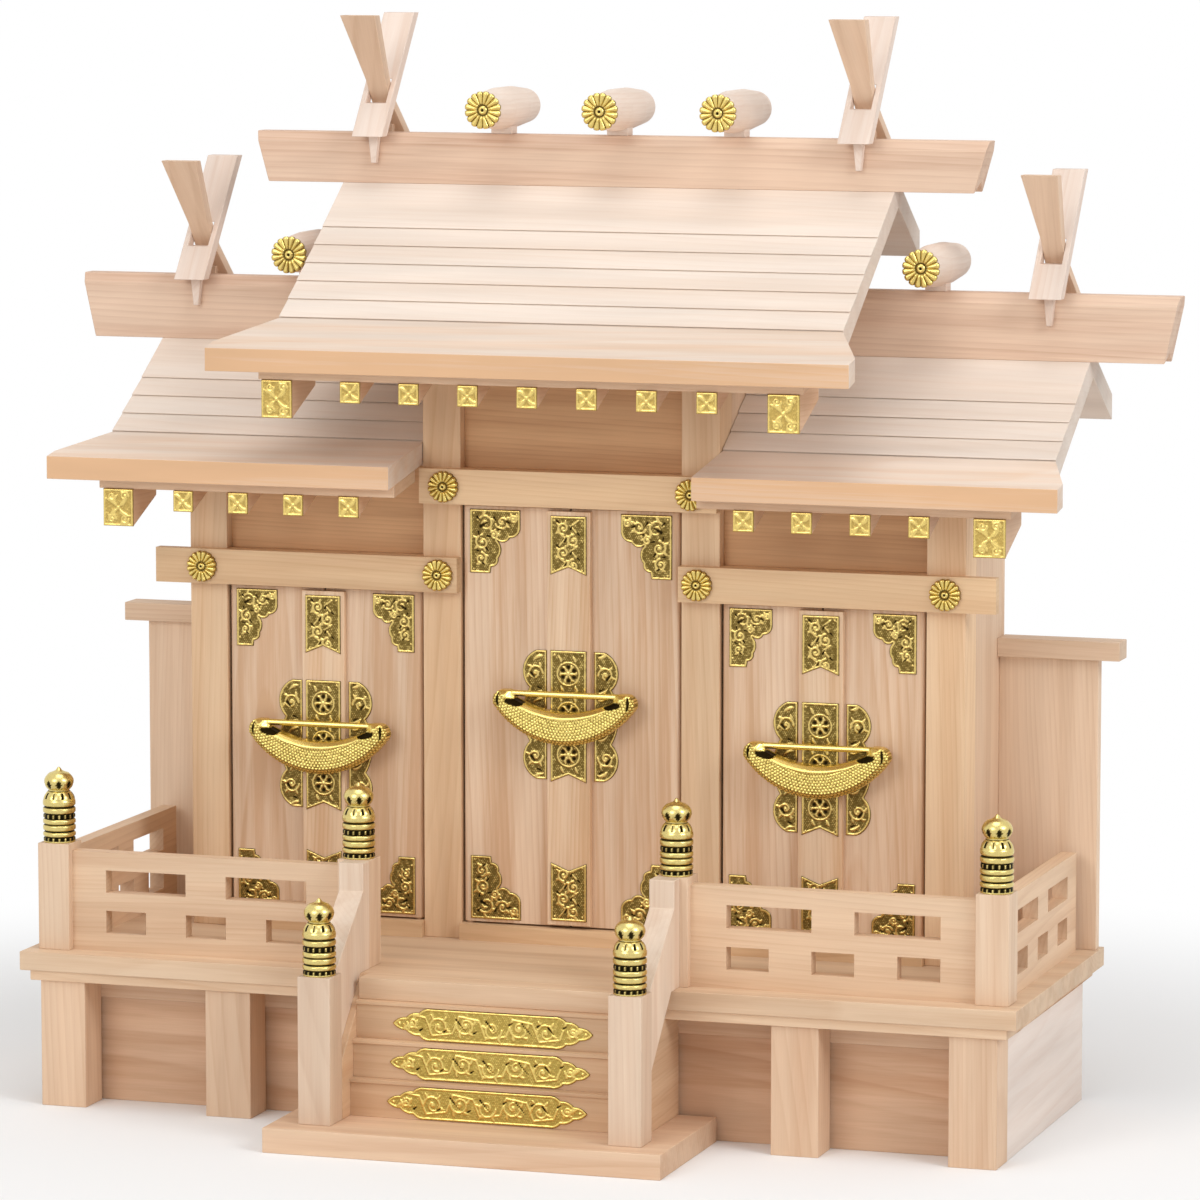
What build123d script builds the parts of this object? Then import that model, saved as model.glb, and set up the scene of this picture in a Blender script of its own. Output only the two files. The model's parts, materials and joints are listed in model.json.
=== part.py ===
"""Three-chamber household shrine in plain cypress, with gilt metal fittings.

Millimetres, +Z up, the front faces -Y. The origin is at the bottom centre: X = 0 is the
plane of symmetry, Z = 0 is the shelf that the shrine stands on, and Y = 0 is midway between
the front of the stair's ground plate and the rear eave.
"""
from build123d import *
from math import atan, cos, hypot, sin
import os

# Plinth
BASE_HALF_WIDTH = 222.5
BASE_DEPTH = 157.0
PLINTH_HEIGHT = 57.5
BASE_POST_WIDTH = 21.5
BASE_POST_DEPTH = 19.0
INNER_BASE_POST_X = 132.0
BASE_RAIL_HEIGHT = 10.0
BASE_RAIL_THICKNESS = 7.0
BASE_PANEL_THICKNESS = 5.0
BASE_SIDE_THICKNESS = 8.0

# Veranda floor
STRIP_THICKNESS = 4.5
STRIP_WIDTH = 24.0
FLOOR_THICKNESS = 8.5
FLOOR_SIDE_OVERHANG = 9.0
FLOOR_FRONT_OVERHANG = 3.0
FLOOR_REAR_OVERHANG = 3.0

# Veranda posts and railings
NEWEL_WIDTH = 15.0
CORNER_POST_INSET = 5.7
VERANDA_POST_SETBACK = 9.0
STAIR_POST_X = 74.0
VERANDA_POST_HEIGHT = 48.5
RAIL_THICKNESS = 7.0
RAIL_TOP_DROP = 3.4
RAIL_BAR_HEIGHT = 8.2
RAIL_END_BLOCK = 16.4
RAIL_BAYS = 5

# Stairs
STAIR_REACH = 64.0
GROUND_PLATE_HALF_WIDTH = 91.0
GROUND_PLATE_THICKNESS = 11.0
STEP_COUNT = 3
STEP_RUN = 4.1
TREAD_THICKNESS = 1.6
TREAD_NOSING = 1.0
RISER_THICKNESS = 4.0
LANDING_THICKNESS = 9.4
LANDING_REACH = 12.9
STAIR_HALF_WIDTH = 63.5
STRINGER_THICKNESS = 10.0
PARAPET_THICKNESS = 11.4
PARAPET_INSET = 2.9
PARAPET_DEPTH = 38.5
PARAPET_HEAD_LENGTH = 8.0
PARAPET_HEAD_HEIGHT = 12.5
LOWER_NEWEL_X = 71.2
LOWER_NEWEL_FRONT = 52.0
LOWER_NEWEL_TOP = 76.5
STAIR_PLATE_HALF_LENGTH = 46.3
STAIR_PLATE_TAPER = 18.0
STAIR_PLATE_MARGIN = 0.4

# Shrine body
POST_WIDTH = 18.0
POST_FRONT_SETBACK = 89.5
INNER_POST_X = 61.4
OUTER_POST_X = 175.0
WALL_THICKNESS = 6.0
BACK_THICKNESS = 5.0
SILL_HEIGHT = 7.5
SILL_PROJECTION = 3.5
BEAM_HEIGHT = 16.0
BEAM_PROJECTION = 5.5
BEAM_END_REACH = 15.0
LINTEL_DEPTH = 12.0
MAIN_BEAM_Z = 270.4
WING_BEAM_Z = 230.0
TRANSOM_THICKNESS = 4.0
TRANSOM_SETBACK = 6.0
TRANSOM_CLEARANCE = 1.0
OUTER_POST_CLEARANCE = 1.0
WALL_CLEARANCE = 0.5
BODY_REAR_INSET = 1.0

# Side screens
SCREEN_HALF_WIDTH = 230.0
SCREEN_TOP = 203.0
SCREEN_THICKNESS = 6.0
SCREEN_CAP_HEIGHT = 8.5
SCREEN_CAP_REACH = 10.5
SCREEN_CAP_DEPTH = 14.0
SCREEN_REAR_INSET = 3.0

# Roofs: heights are of the top surface
RIDGE_BEHIND_BASE = 5.0
REAR_EAVE_BEHIND_RIDGE = 37.0
RIDGE_THICKNESS = 15.0
RIDGE_BEVEL = 4.5
ROOF_THICKNESS = 10.0
LAP_STEP = 0.9
LAP_FACE_RUN = 0.6
MAIN_SLOPE = 0.668
MAIN_BREAK_SETBACK = 70.5
MAIN_BREAK_Z = 354.7
MAIN_EAVE_SETBACK = 21.0
MAIN_EAVE_Z = 344.0
MAIN_ROOF_HALF_WIDTH = 132.5
MAIN_EAVE_HALF_WIDTH = 149.0
MAIN_LAP_RUN = 10.1
MAIN_LAPS = 6
MAIN_RIDGE_HEIGHT = 23.5
MAIN_RIDGE_HALF = 176.0
WING_SLOPE = 0.606
WING_BREAK_SETBACK = 92.0
WING_BREAK_Z = 298.4
WING_EAVE_SETBACK = 44.4
WING_EAVE_Z = 290.6
WING_ROOF_HALF_WIDTH = 223.5
WING_EAVE_HALF_WIDTH = 236.0
WING_LAP_RUN = 10.3
WING_LAPS = 4
WING_RIDGE_HEIGHT = 30.1
WING_RIDGE_HALF = 264.0
RIDGE_END_SLANT = 6.5
EAVE_THICKNESS = 10.5
EAVE_STRIP_THICKNESS = 5.5
EAVE_STRIP_INSET = 22.5
EAVE_STRIP_SETBACK = 8.0
EAVE_STRIP_REAR_SETBACK = 12.0
EAVE_FLARE_START = 0.2
WING_INNER_GAP = 0.3

# Rafters and their gilt end caps
RAFTER_SIZE = 9.5
RAFTER_PITCH = 27.6
RAFTER_SLOPE = 0.42
RAFTER_ROOT_HEIGHT = 0.5
CORNER_RAFTER_WIDTH = 14.5
CORNER_RAFTER_HEIGHT = 17.0
MAIN_CORNER_RAFTER_X = 117.6
WING_CORNER_RAFTER_X = 204.0
WING_FIRST_RAFTER_X = 92.5
WING_RAFTER_PITCH = 26.6
CAP_THICKNESS = 1.2

# Ridge ornaments
BILLET_RADIUS = 9.6
BILLET_END_RADIUS = 8.0
BILLET_LENGTH = 58.0
BILLET_RISE = 11.9
SADDLE_WIDTH = 10.0
SADDLE_DEPTH = 8.0
MAIN_BILLET_PITCH = 56.0
WING_BILLET_X = 151.0
BILLET_CAP_RADIUS = 8.8
BILLET_CAP_THICKNESS = 2.5
BLADE_TOP_WIDTH = 17.0
BLADE_WIDTH = 15.0
BLADE_NECK_WIDTH = 9.6
BLADE_THICKNESS = 5.5
BLADE_CROSS_RISE = 19.0
BLADE_TOP_RISE = 54.5
BLADE_FOOT_DROP = 1.5
BLADE_SPREAD = 28.0
BLADE_CLEARANCE = 0.15
BLADE_WAIST_ALLOWANCE = 1.0
TANG_DROP = 14.0
TANG_WIDTH = 6.0
TANG_TIP_WIDTH = 2.5
TANG_THICKNESS = 3.2
TANG_CLEARANCE = 0.1
MAIN_CHIGI_X = 116.3
WING_CHIGI_X = 205.2
DISC_PETALS = 16
INNER_ROSETTE_INSET = 2.9
OUTER_ROSETTE_OFFSET = 1.0
ROSETTE_RADIUS = 7.3
ROSETTE_THICKNESS = 3.0

# Post caps
CAP_RADIUS = 7.4
CAP_SLEEVE_HEIGHT = 20.5
CAP_NECK_RADIUS = 5.4
CAP_NECK_HEIGHT = 2.0
CAP_KNOB_RADIUS = 6.7
CAP_KNOB_HEIGHT = 9.0
CAP_TIP_HEIGHT = 2.5
CAP_GROOVE = 0.9

# Doors
LEAF_THICKNESS = 5.0
LEAF_GAP = 0.8
LEAF_SETBACK = 0.5
HINGE_SIDE_GAP = 1.0
PIN_RADIUS = 1.5
PIN_CLEARANCE = 0.09
PIN_LENGTH = 4.5
SOCKET_END_GAP = 1.0
BATTEN_WIDTH = 20.5
BATTEN_THICKNESS = 3.0
BATTEN_CLEARANCE = 0.3
BATTEN_END_GAP = 1.0
PLATE_THICKNESS = 0.8
PLATE_MARGIN = 1.5
PLATE_INSET = 1.0
MAIN_CORNER_PLATE = (24.0, 29.0)
WING_CORNER_PLATE = (20.0, 26.5)
BATTEN_PLATE_WIDTH = 17.0
BATTEN_PLATE_HEIGHT = 26.7
BATTEN_PLATE_NOTCH = 3.5
ESCUTCHEON_HEIGHT = 60.0
FLANK_REACH = 22.8
FLANK_WAIST = 3.2
FLANK_HEAD = 5.0
FLANK_GAP = 1.0
FLANK_HALF_HEIGHT = 29.5
MAIN_LOCK_Z = 175.5
WING_LOCK_Z = 157.0
LOCK_HALF_WIDTH = 33.5
LOCK_HALF_HEIGHT = 12.15
LOCK_OPENING_HALF = 24.5
LOCK_BODY_TOP = 2.7
LOCK_END_RUN = 4.0
LOCK_BAR_RADIUS = 1.45
LOCK_DEPTH = 8.0
LOCK_STANDOFF = 1.5
LOCK_ROUNDING = 2.2
STAPLE_WIDTH = 2.4
STAPLE_SPACING = 10.0

# Worked out from the above
RIDGE_SETBACK = BASE_DEPTH + RIDGE_BEHIND_BASE
REAR_REACH = RIDGE_SETBACK + REAR_EAVE_BEHIND_RIDGE
BASE_FRONT = (STAIR_REACH - REAR_REACH) / 2
FLOOR_TOP = PLINTH_HEIGHT + STRIP_THICKNESS + FLOOR_THICKNESS
FLOOR_FRONT = BASE_FRONT - FLOOR_FRONT_OVERHANG
FLOOR_BACK = BASE_FRONT + BASE_DEPTH + FLOOR_REAR_OVERHANG
FLOOR_HALF_WIDTH = BASE_HALF_WIDTH + FLOOR_SIDE_OVERHANG
POST_FRONT = BASE_FRONT + POST_FRONT_SETBACK
POST_BACK = POST_FRONT + POST_WIDTH
BODY_BACK = FLOOR_BACK - BODY_REAR_INSET
SILL_TOP = FLOOR_TOP + SILL_HEIGHT
RIDGE_Y = BASE_FRONT + RIDGE_SETBACK
REAR_EAVE = BASE_FRONT + REAR_REACH
HINGE_Y = POST_FRONT + LEAF_SETBACK + LEAF_THICKNESS / 2
BEAM_FRONT = POST_FRONT - BEAM_PROJECTION
MAIN_INNER_X = INNER_POST_X - POST_WIDTH / 2
BAY_INNER_X = INNER_POST_X + POST_WIDTH / 2
BAY_OUTER_X = OUTER_POST_X - POST_WIDTH / 2
BODY_HALF_WIDTH = OUTER_POST_X + POST_WIDTH / 2
CORNER_POST_X = FLOOR_HALF_WIDTH - CORNER_POST_INSET - NEWEL_WIDTH / 2
VERANDA_POST_Y = FLOOR_FRONT + VERANDA_POST_SETBACK + NEWEL_WIDTH / 2
VERANDA_POST_TOP = FLOOR_TOP + VERANDA_POST_HEIGHT
LOWER_NEWEL_Y = BASE_FRONT - LOWER_NEWEL_FRONT + NEWEL_WIDTH / 2
LANDING_BOTTOM = FLOOR_TOP - LANDING_THICKNESS
STEP_RISE = (LANDING_BOTTOM - GROUND_PLATE_THICKNESS) / STEP_COUNT


def block(x0, x1, y0, y1, z0, z1):
    """A squared piece of timber, given by its faces."""
    centre = Pos((x0 + x1) / 2, (y0 + y1) / 2, (z0 + z1) / 2)
    return centre * Box(x1 - x0, y1 - y0, z1 - z0)


def sawn_side(outline, x0, x1):
    """A board whose outline is drawn in side view, as (y, z) points."""
    face = Plane.YZ * make_face(Polyline(*outline, close=True))
    return Pos(x0, 0, 0) * extrude(face, amount=x1 - x0)


def sawn_front(outline, y0, y1):
    """A board whose outline is drawn in front view, as (x, z) points."""
    face = Plane.XZ * make_face(Polyline(*outline, close=True))
    return Pos(0, y1, 0) * extrude(face, amount=y1 - y0)


def sawn_plan(outline, z0, z1):
    """A board whose outline is drawn in plan, as (x, y) points."""
    face = make_face(Polyline(*outline, close=True))
    return Pos(0, 0, z0) * extrude(face, amount=z1 - z0)


def both_sides(*pieces):
    """The pieces and their mirror images across the plane of symmetry."""
    return list(pieces) + [mirror(piece, about=Plane.YZ) for piece in pieces]


def roof_line(side, setback):
    """Height of a front roof's top surface at a distance behind the plinth's front."""
    if side == "main":
        slope, y0, z0 = MAIN_SLOPE, MAIN_BREAK_SETBACK, MAIN_BREAK_Z
        y1, z1 = MAIN_EAVE_SETBACK, MAIN_EAVE_Z
    else:
        slope, y0, z0 = WING_SLOPE, WING_BREAK_SETBACK, WING_BREAK_Z
        y1, z1 = WING_EAVE_SETBACK, WING_EAVE_Z
    if setback >= y0:
        return z0 + slope * (min(setback, 2 * RIDGE_SETBACK - setback) - y0)
    return z0 + (setback - y0) * (z0 - z1) / (y0 - y1)


def roof_drop(side):
    """Vertical thickness of a front roof's pitched boards."""
    slope = MAIN_SLOPE if side == "main" else WING_SLOPE
    return ROOF_THICKNESS * hypot(1, slope)


def plinth():
    """Square posts, recessed front board with its top rail, plain sides and back."""
    front = BASE_FRONT
    back = BASE_FRONT + BASE_DEPTH
    side_in = BASE_HALF_WIDTH - BASE_SIDE_THICKNESS
    half_post = BASE_POST_WIDTH / 2
    panel_front = front + BASE_POST_DEPTH
    rail_z = PLINTH_HEIGHT - BASE_RAIL_HEIGHT
    corner = block(BASE_HALF_WIDTH - BASE_POST_WIDTH, BASE_HALF_WIDTH, front, panel_front, 0, PLINTH_HEIGHT)
    inner = block(INNER_BASE_POST_X - half_post, INNER_BASE_POST_X + half_post,
                  front, panel_front, 0, PLINTH_HEIGHT)
    side = block(side_in, BASE_HALF_WIDTH, panel_front, back, 0, PLINTH_HEIGHT)
    panel = block(-side_in, side_in, panel_front + BASE_RAIL_THICKNESS - BASE_PANEL_THICKNESS,
                  panel_front + BASE_RAIL_THICKNESS, 0, rail_z)
    rail = block(-side_in, side_in, panel_front, panel_front + BASE_RAIL_THICKNESS, rail_z, PLINTH_HEIGHT)
    rear = block(-side_in, side_in, back - BASE_PANEL_THICKNESS, back, 0, PLINTH_HEIGHT)
    return {
        "plinth_posts": both_sides(corner, inner),
        "plinth_sides": both_sides(side),
        "plinth_front_board": [panel],
        "plinth_top_rail": [rail],
        "plinth_back_board": [rear],
    }


def veranda_floor():
    """One wide floor board on four strips that lie along the top edges of the plinth."""
    strip_z = PLINTH_HEIGHT
    floor_z = PLINTH_HEIGHT + STRIP_THICKNESS
    half = BASE_HALF_WIDTH + FLOOR_SIDE_OVERHANG / 2
    front = BASE_FRONT - FLOOR_FRONT_OVERHANG / 2
    back = BASE_FRONT + BASE_DEPTH
    front_strip = block(-half, half, front, front + STRIP_WIDTH, strip_z, floor_z)
    rear_strip = block(-half, half, back - STRIP_WIDTH, back, strip_z, floor_z)
    side_strip = block(half - STRIP_WIDTH, half, front + STRIP_WIDTH, back - STRIP_WIDTH, strip_z, floor_z)
    floor = block(-FLOOR_HALF_WIDTH, FLOOR_HALF_WIDTH, FLOOR_FRONT, FLOOR_BACK, floor_z, FLOOR_TOP)
    strips = [front_strip, rear_strip] + both_sides(side_strip)
    return {"floor_strip": strips, "veranda_floor": [floor]}


def step_nose(step):
    """Front of a tread, counted from the landing down."""
    return FLOOR_FRONT - LANDING_REACH - STEP_RUN * step


def stairs():
    """Ground plate, landing, three steep steps, solid side boards, parapets and newels."""
    ground = GROUND_PLATE_THICKNESS
    plate_back = BASE_FRONT + BASE_POST_DEPTH
    plate = block(-GROUND_PLATE_HALF_WIDTH, GROUND_PLATE_HALF_WIDTH, BASE_FRONT - STAIR_REACH,
                  plate_back, 0, ground)
    half = STAIR_HALF_WIDTH
    landing = block(-half, half, step_nose(0), FLOOR_FRONT, LANDING_BOTTOM, FLOOR_TOP)
    treads = []
    risers = []
    for step in range(1, STEP_COUNT + 1):
        top = LANDING_BOTTOM - STEP_RISE * (step - 1)
        face = step_nose(step) + TREAD_NOSING
        back = face + STEP_RUN + RISER_THICKNESS
        treads.append(block(-half, half, step_nose(step), back, top - TREAD_THICKNESS, top))
        risers.append(block(-half, half, face, face + RISER_THICKNESS,
                            top - STEP_RISE, top - TREAD_THICKNESS))
    newel_front = BASE_FRONT - LOWER_NEWEL_FRONT
    newel_back = newel_front + NEWEL_WIDTH
    newel = block(LOWER_NEWEL_X - NEWEL_WIDTH / 2, LOWER_NEWEL_X + NEWEL_WIDTH / 2,
                  newel_front, newel_back, ground, LOWER_NEWEL_TOP)
    post_front = VERANDA_POST_Y - NEWEL_WIDTH / 2
    head_front = post_front - PARAPET_HEAD_LENGTH
    shoulder = VERANDA_POST_TOP - PARAPET_HEAD_HEIGHT
    heel_y = FLOOR_FRONT - PARAPET_INSET
    toe_z = LOWER_NEWEL_TOP - PARAPET_DEPTH
    parapet_x = STAIR_HALF_WIDTH + PARAPET_INSET
    parapet = sawn_side([(newel_back, toe_z), (newel_back, LOWER_NEWEL_TOP), (head_front, shoulder),
                         (head_front, VERANDA_POST_TOP), (post_front, VERANDA_POST_TOP),
                         (post_front, FLOOR_TOP), (heel_y, FLOOR_TOP)],
                        parapet_x, parapet_x + PARAPET_THICKNESS)
    stringer = sawn_side([(newel_back, ground), (newel_back, toe_z), (heel_y, FLOOR_TOP),
                          (FLOOR_FRONT, FLOOR_TOP), (FLOOR_FRONT, PLINTH_HEIGHT),
                          (plate_back, PLINTH_HEIGHT), (plate_back, ground)],
                         STAIR_HALF_WIDTH, STAIR_HALF_WIDTH + STRINGER_THICKNESS)
    return {
        "stair_ground_plate": [plate],
        "stair_landing": [landing],
        "stair_treads": treads,
        "stair_risers": risers,
        "stair_sides": both_sides(stringer),
        "stair_parapets": both_sides(parapet),
        "stair_newels": both_sides(newel),
    }


def cut_sheet(path, front, thickness=PLATE_THICKNESS):
    """Sheet metal cut to an outline in front view: corners, and arcs given as (middle, end)."""
    edges = []
    here = path[0]
    for entry in path[1:]:
        if isinstance(entry[0], tuple):
            edges.append(ThreePointArc(here, entry[0], entry[1]))
            here = entry[1]
        else:
            edges.append(Line(here, entry))
            here = entry
    if (Vector(*here) - Vector(*path[0])).length > 1e-6:
        edges.append(Line(here, path[0]))
    face = Plane.XZ * make_face(edges)
    return Pos(0, front, 0) * extrude(face, amount=thickness)


def placed(path, x, z, x_sign=1, z_sign=1):
    """An outline moved to its place, and turned over where a sign is negative."""
    moved = []
    for entry in path:
        if isinstance(entry[0], tuple):
            moved.append(tuple((x + x_sign * px, z + z_sign * pz) for px, pz in entry))
        else:
            moved.append((x + x_sign * entry[0], z + z_sign * entry[1]))
    return moved


def pointed_outline(half_length, half_height, taper):
    """A long plate whose ends come to a point in three scallops."""
    stops = ((0.0, 0.0), (0.34, 0.40), (0.68, 0.72), (1.0, 1.0))
    ends = [(half_length - taper * along, half_height * up) for along, up in stops]
    middles = []
    for (along0, up0), (along1, up1) in zip(stops, stops[1:]):
        middles.append((half_length - taper * ((along0 + along1) / 2 - 0.05),
                        half_height * ((up0 + up1) / 2 + 0.07)))
    count = len(middles)
    path = [ends[0]]
    for x_sign, z_sign, outwards in ((1, 1, True), (-1, 1, False), (-1, -1, True), (1, -1, False)):
        if not outwards:
            path.append((x_sign * ends[count][0], z_sign * ends[count][1]))
        for k in (range(count) if outwards else reversed(range(count))):
            middle = middles[k]
            end = ends[k + 1] if outwards else ends[k]
            path.append(((x_sign * middle[0], z_sign * middle[1]), (x_sign * end[0], z_sign * end[1])))
    return path


def stair_plates():
    """Three pointed gilt plates, one on each riser."""
    plates = []
    half_height = (STEP_RISE - TREAD_THICKNESS) / 2 - STAIR_PLATE_MARGIN
    outline = pointed_outline(STAIR_PLATE_HALF_LENGTH, half_height, STAIR_PLATE_TAPER)
    for step in range(1, STEP_COUNT + 1):
        middle = LANDING_BOTTOM - STEP_RISE * (step - 0.5) - TREAD_THICKNESS / 2
        face = step_nose(step) + TREAD_NOSING
        plates.append(cut_sheet(placed(outline, 0, middle), face))
    return {"stair_plates": plates}


def railing_panel(length):
    """A flat railing of three bars and staggered blocks, drawn from x = 0 in front view."""
    top = VERANDA_POST_HEIGHT - RAIL_TOP_DROP
    bar = RAIL_BAR_HEIGHT
    gap = (top - 3 * bar) / 2
    bay = (length - 2 * RAIL_END_BLOCK) / RAIL_BAYS
    panel = block(0, length, 0, RAIL_THICKNESS, 0, top)
    lower_row = ((0, 1), (2, 3), (4, 5))
    upper_row = ((0, 2), (3, 5))
    for row, z in ((lower_row, bar), (upper_row, 2 * bar + gap)):
        for first, last in row:
            x0 = RAIL_END_BLOCK + bay * first
            x1 = RAIL_END_BLOCK + bay * last
            panel -= block(x0, x1, -1, RAIL_THICKNESS + 1, z, z + gap)
    return panel


def veranda():
    """Corner and stair-head posts, with front and side railings between them."""
    half = NEWEL_WIDTH / 2
    posts = [block(x - half, x + half, VERANDA_POST_Y - half, VERANDA_POST_Y + half,
                   FLOOR_TOP, VERANDA_POST_TOP) for x in (STAIR_POST_X, CORNER_POST_X)]
    front_x0 = STAIR_POST_X + half
    front_x1 = CORNER_POST_X - half
    front_panel = Pos(front_x0, VERANDA_POST_Y - RAIL_THICKNESS / 2, FLOOR_TOP)
    front_panel *= railing_panel(front_x1 - front_x0)
    side_y0 = VERANDA_POST_Y + half
    side_y1 = BODY_BACK - SCREEN_CAP_DEPTH
    side_panel = Rot(0, 0, 90) * railing_panel(side_y1 - side_y0)
    side_panel = Pos(CORNER_POST_X + RAIL_THICKNESS / 2, side_y0, FLOOR_TOP) * side_panel
    return {
        "veranda_posts": both_sides(*posts),
        "front_railings": both_sides(front_panel),
        "side_railings": both_sides(side_panel),
    }


def post_cap(x, y, z):
    """A ringed sleeve with a neck and a pointed knob, turned about its upright axis."""
    r = CAP_RADIUS
    low = r - CAP_GROOVE
    h = CAP_SLEEVE_HEIGHT
    knob = h + CAP_NECK_HEIGHT
    top = knob + CAP_KNOB_HEIGHT
    outline = [(0, 0), (r, 0), (r, h * 0.4), (low, h * 0.44), (low, h * 0.56), (r, h * 0.6), (r, h),
               (CAP_NECK_RADIUS, knob), (CAP_KNOB_RADIUS, knob + CAP_KNOB_HEIGHT * 0.4),
               (CAP_KNOB_RADIUS * 0.7, top), (0, top + CAP_TIP_HEIGHT)]
    face = Plane.XZ * make_face(Polyline(*outline, close=True))
    return Pos(x, y, z) * revolve(face, axis=Axis.Z, clean=False)


def post_caps():
    """Six caps: two on the stair newels and four on the veranda posts."""
    caps = [
        post_cap(LOWER_NEWEL_X, LOWER_NEWEL_Y, LOWER_NEWEL_TOP),
        post_cap(STAIR_POST_X, VERANDA_POST_Y, VERANDA_POST_TOP),
        post_cap(CORNER_POST_X, VERANDA_POST_Y, VERANDA_POST_TOP),
    ]
    return {"post_caps": both_sides(*caps)}


def pivot_positions():
    """The upright pivots of the six door leaves, as (shrine, side, x, inward sign)."""
    heel = HINGE_SIDE_GAP + LEAF_THICKNESS / 2
    return {
        ("main", "left"): (-MAIN_INNER_X + heel, 1),
        ("main", "right"): (MAIN_INNER_X - heel, -1),
        ("left", "left"): (-BAY_OUTER_X + heel, 1),
        ("left", "right"): (-BAY_INNER_X - heel, -1),
        ("right", "left"): (BAY_INNER_X + heel, 1),
        ("right", "right"): (BAY_OUTER_X - heel, -1),
    }


def pivot_holes(shrine, z0, z1):
    """Round sockets for a shrine's two pivot pins."""
    holes = []
    for (name, side), (x, inward) in pivot_positions().items():
        if name == shrine:
            hole = Cylinder(PIN_RADIUS + PIN_CLEARANCE, z1 - z0)
            holes.append(Pos(x, HINGE_Y, (z0 + z1) / 2) * hole)
    return holes


def body_frame():
    """Four square posts on the floor, sills between them and crossbeams over the doors."""
    socket = PIN_LENGTH + SOCKET_END_GAP
    inner_top = roof_line("main", POST_FRONT_SETBACK) - roof_drop("main")
    outer_top = roof_line("wing", WING_BREAK_SETBACK) - roof_drop("wing")
    half = POST_WIDTH / 2
    posts = []
    for x, top in ((INNER_POST_X, inner_top), (OUTER_POST_X, outer_top - OUTER_POST_CLEARANCE)):
        posts.append(block(x - half, x + half, POST_FRONT, POST_BACK, FLOOR_TOP, top))
    sills = []
    beams = []
    spans = {
        "main": (-MAIN_INNER_X, MAIN_INNER_X, -BAY_INNER_X, BAY_INNER_X, MAIN_BEAM_Z),
        "left": (-BAY_OUTER_X, -BAY_INNER_X, -BODY_HALF_WIDTH - BEAM_END_REACH, -MAIN_INNER_X, WING_BEAM_Z),
        "right": (BAY_INNER_X, BAY_OUTER_X, MAIN_INNER_X, BODY_HALF_WIDTH + BEAM_END_REACH, WING_BEAM_Z),
    }
    for shrine, (x0, x1, outer0, outer1, z) in spans.items():
        sill = block(x0, x1, POST_FRONT - SILL_PROJECTION, POST_BACK, FLOOR_TOP, SILL_TOP)
        for hole in pivot_holes(shrine, SILL_TOP - socket, SILL_TOP):
            sill -= hole
        sills.append(sill)
        beam = block(outer0, outer1, BEAM_FRONT, POST_FRONT, z, z + BEAM_HEIGHT)
        beam += block(x0, x1, POST_FRONT, POST_FRONT + LINTEL_DEPTH, z, z + BEAM_HEIGHT)
        for hole in pivot_holes(shrine, z, z + socket):
            beam -= hole
        beams.append(beam)
    return {"shrine_posts": both_sides(*posts), "door_sills": sills, "crossbeams": beams}


def transom_panels():
    """Thin boards that close the front between crossbeam and roof."""
    y0 = POST_FRONT + TRANSOM_SETBACK
    y1 = y0 + TRANSOM_THICKNESS
    panels = []
    for shrine, x0, x1, z in (("main", -MAIN_INNER_X, MAIN_INNER_X, MAIN_BEAM_Z),
                              ("wing", BAY_INNER_X, BAY_OUTER_X, WING_BEAM_Z),
                              ("wing", -BAY_OUTER_X, -BAY_INNER_X, WING_BEAM_Z)):
        top = roof_line(shrine, y0 - BASE_FRONT) - roof_drop(shrine) - TRANSOM_CLEARANCE
        panels.append(block(x0, x1, y0, y1, z + BEAM_HEIGHT, top))
    return {"transom_panels": panels}


def body_walls():
    """Outer side walls, taller walls between the chambers, and the back boards."""
    back_front = BODY_BACK - BACK_THICKNESS

    def wall(side, x0, x1):
        lower = roof_drop(side) + WALL_CLEARANCE
        outline = [(POST_BACK, FLOOR_TOP), (POST_BACK, roof_line(side, POST_BACK - BASE_FRONT) - lower),
                   (back_front, roof_line(side, back_front - BASE_FRONT) - lower), (back_front, FLOOR_TOP)]
        return sawn_side(outline, x0, x1)

    outer = wall("wing", BODY_HALF_WIDTH - WALL_THICKNESS, BODY_HALF_WIDTH)
    inner = wall("main", BAY_INNER_X - WALL_THICKNESS, BAY_INNER_X)

    def back(side, x0, x1):
        lines = [roof_line(side, y - BASE_FRONT) for y in (back_front, BODY_BACK)]
        top = min(lines) - roof_drop(side) - WALL_CLEARANCE
        return block(x0, x1, back_front, BODY_BACK, FLOOR_TOP, top)

    rear = [back("main", -BAY_INNER_X, BAY_INNER_X)] + both_sides(back("wing", BAY_INNER_X, BODY_HALF_WIDTH))
    return {"side_walls": both_sides(outer, inner), "back_boards": rear}


def screens():
    """Low wing screens at the back of the veranda, each under a wider cap board."""
    y1 = BODY_BACK - SCREEN_REAR_INSET
    y0 = y1 - SCREEN_THICKNESS
    panel = block(BODY_HALF_WIDTH, SCREEN_HALF_WIDTH, y0, y1, FLOOR_TOP, SCREEN_TOP)
    middle = (y0 + y1) / 2
    cap = block(BODY_HALF_WIDTH, SCREEN_HALF_WIDTH + SCREEN_CAP_REACH, middle - SCREEN_CAP_DEPTH / 2,
                middle + SCREEN_CAP_DEPTH / 2, SCREEN_TOP, SCREEN_TOP + SCREEN_CAP_HEIGHT)
    return {"side_screens": both_sides(panel), "screen_caps": both_sides(cap)}


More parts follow.
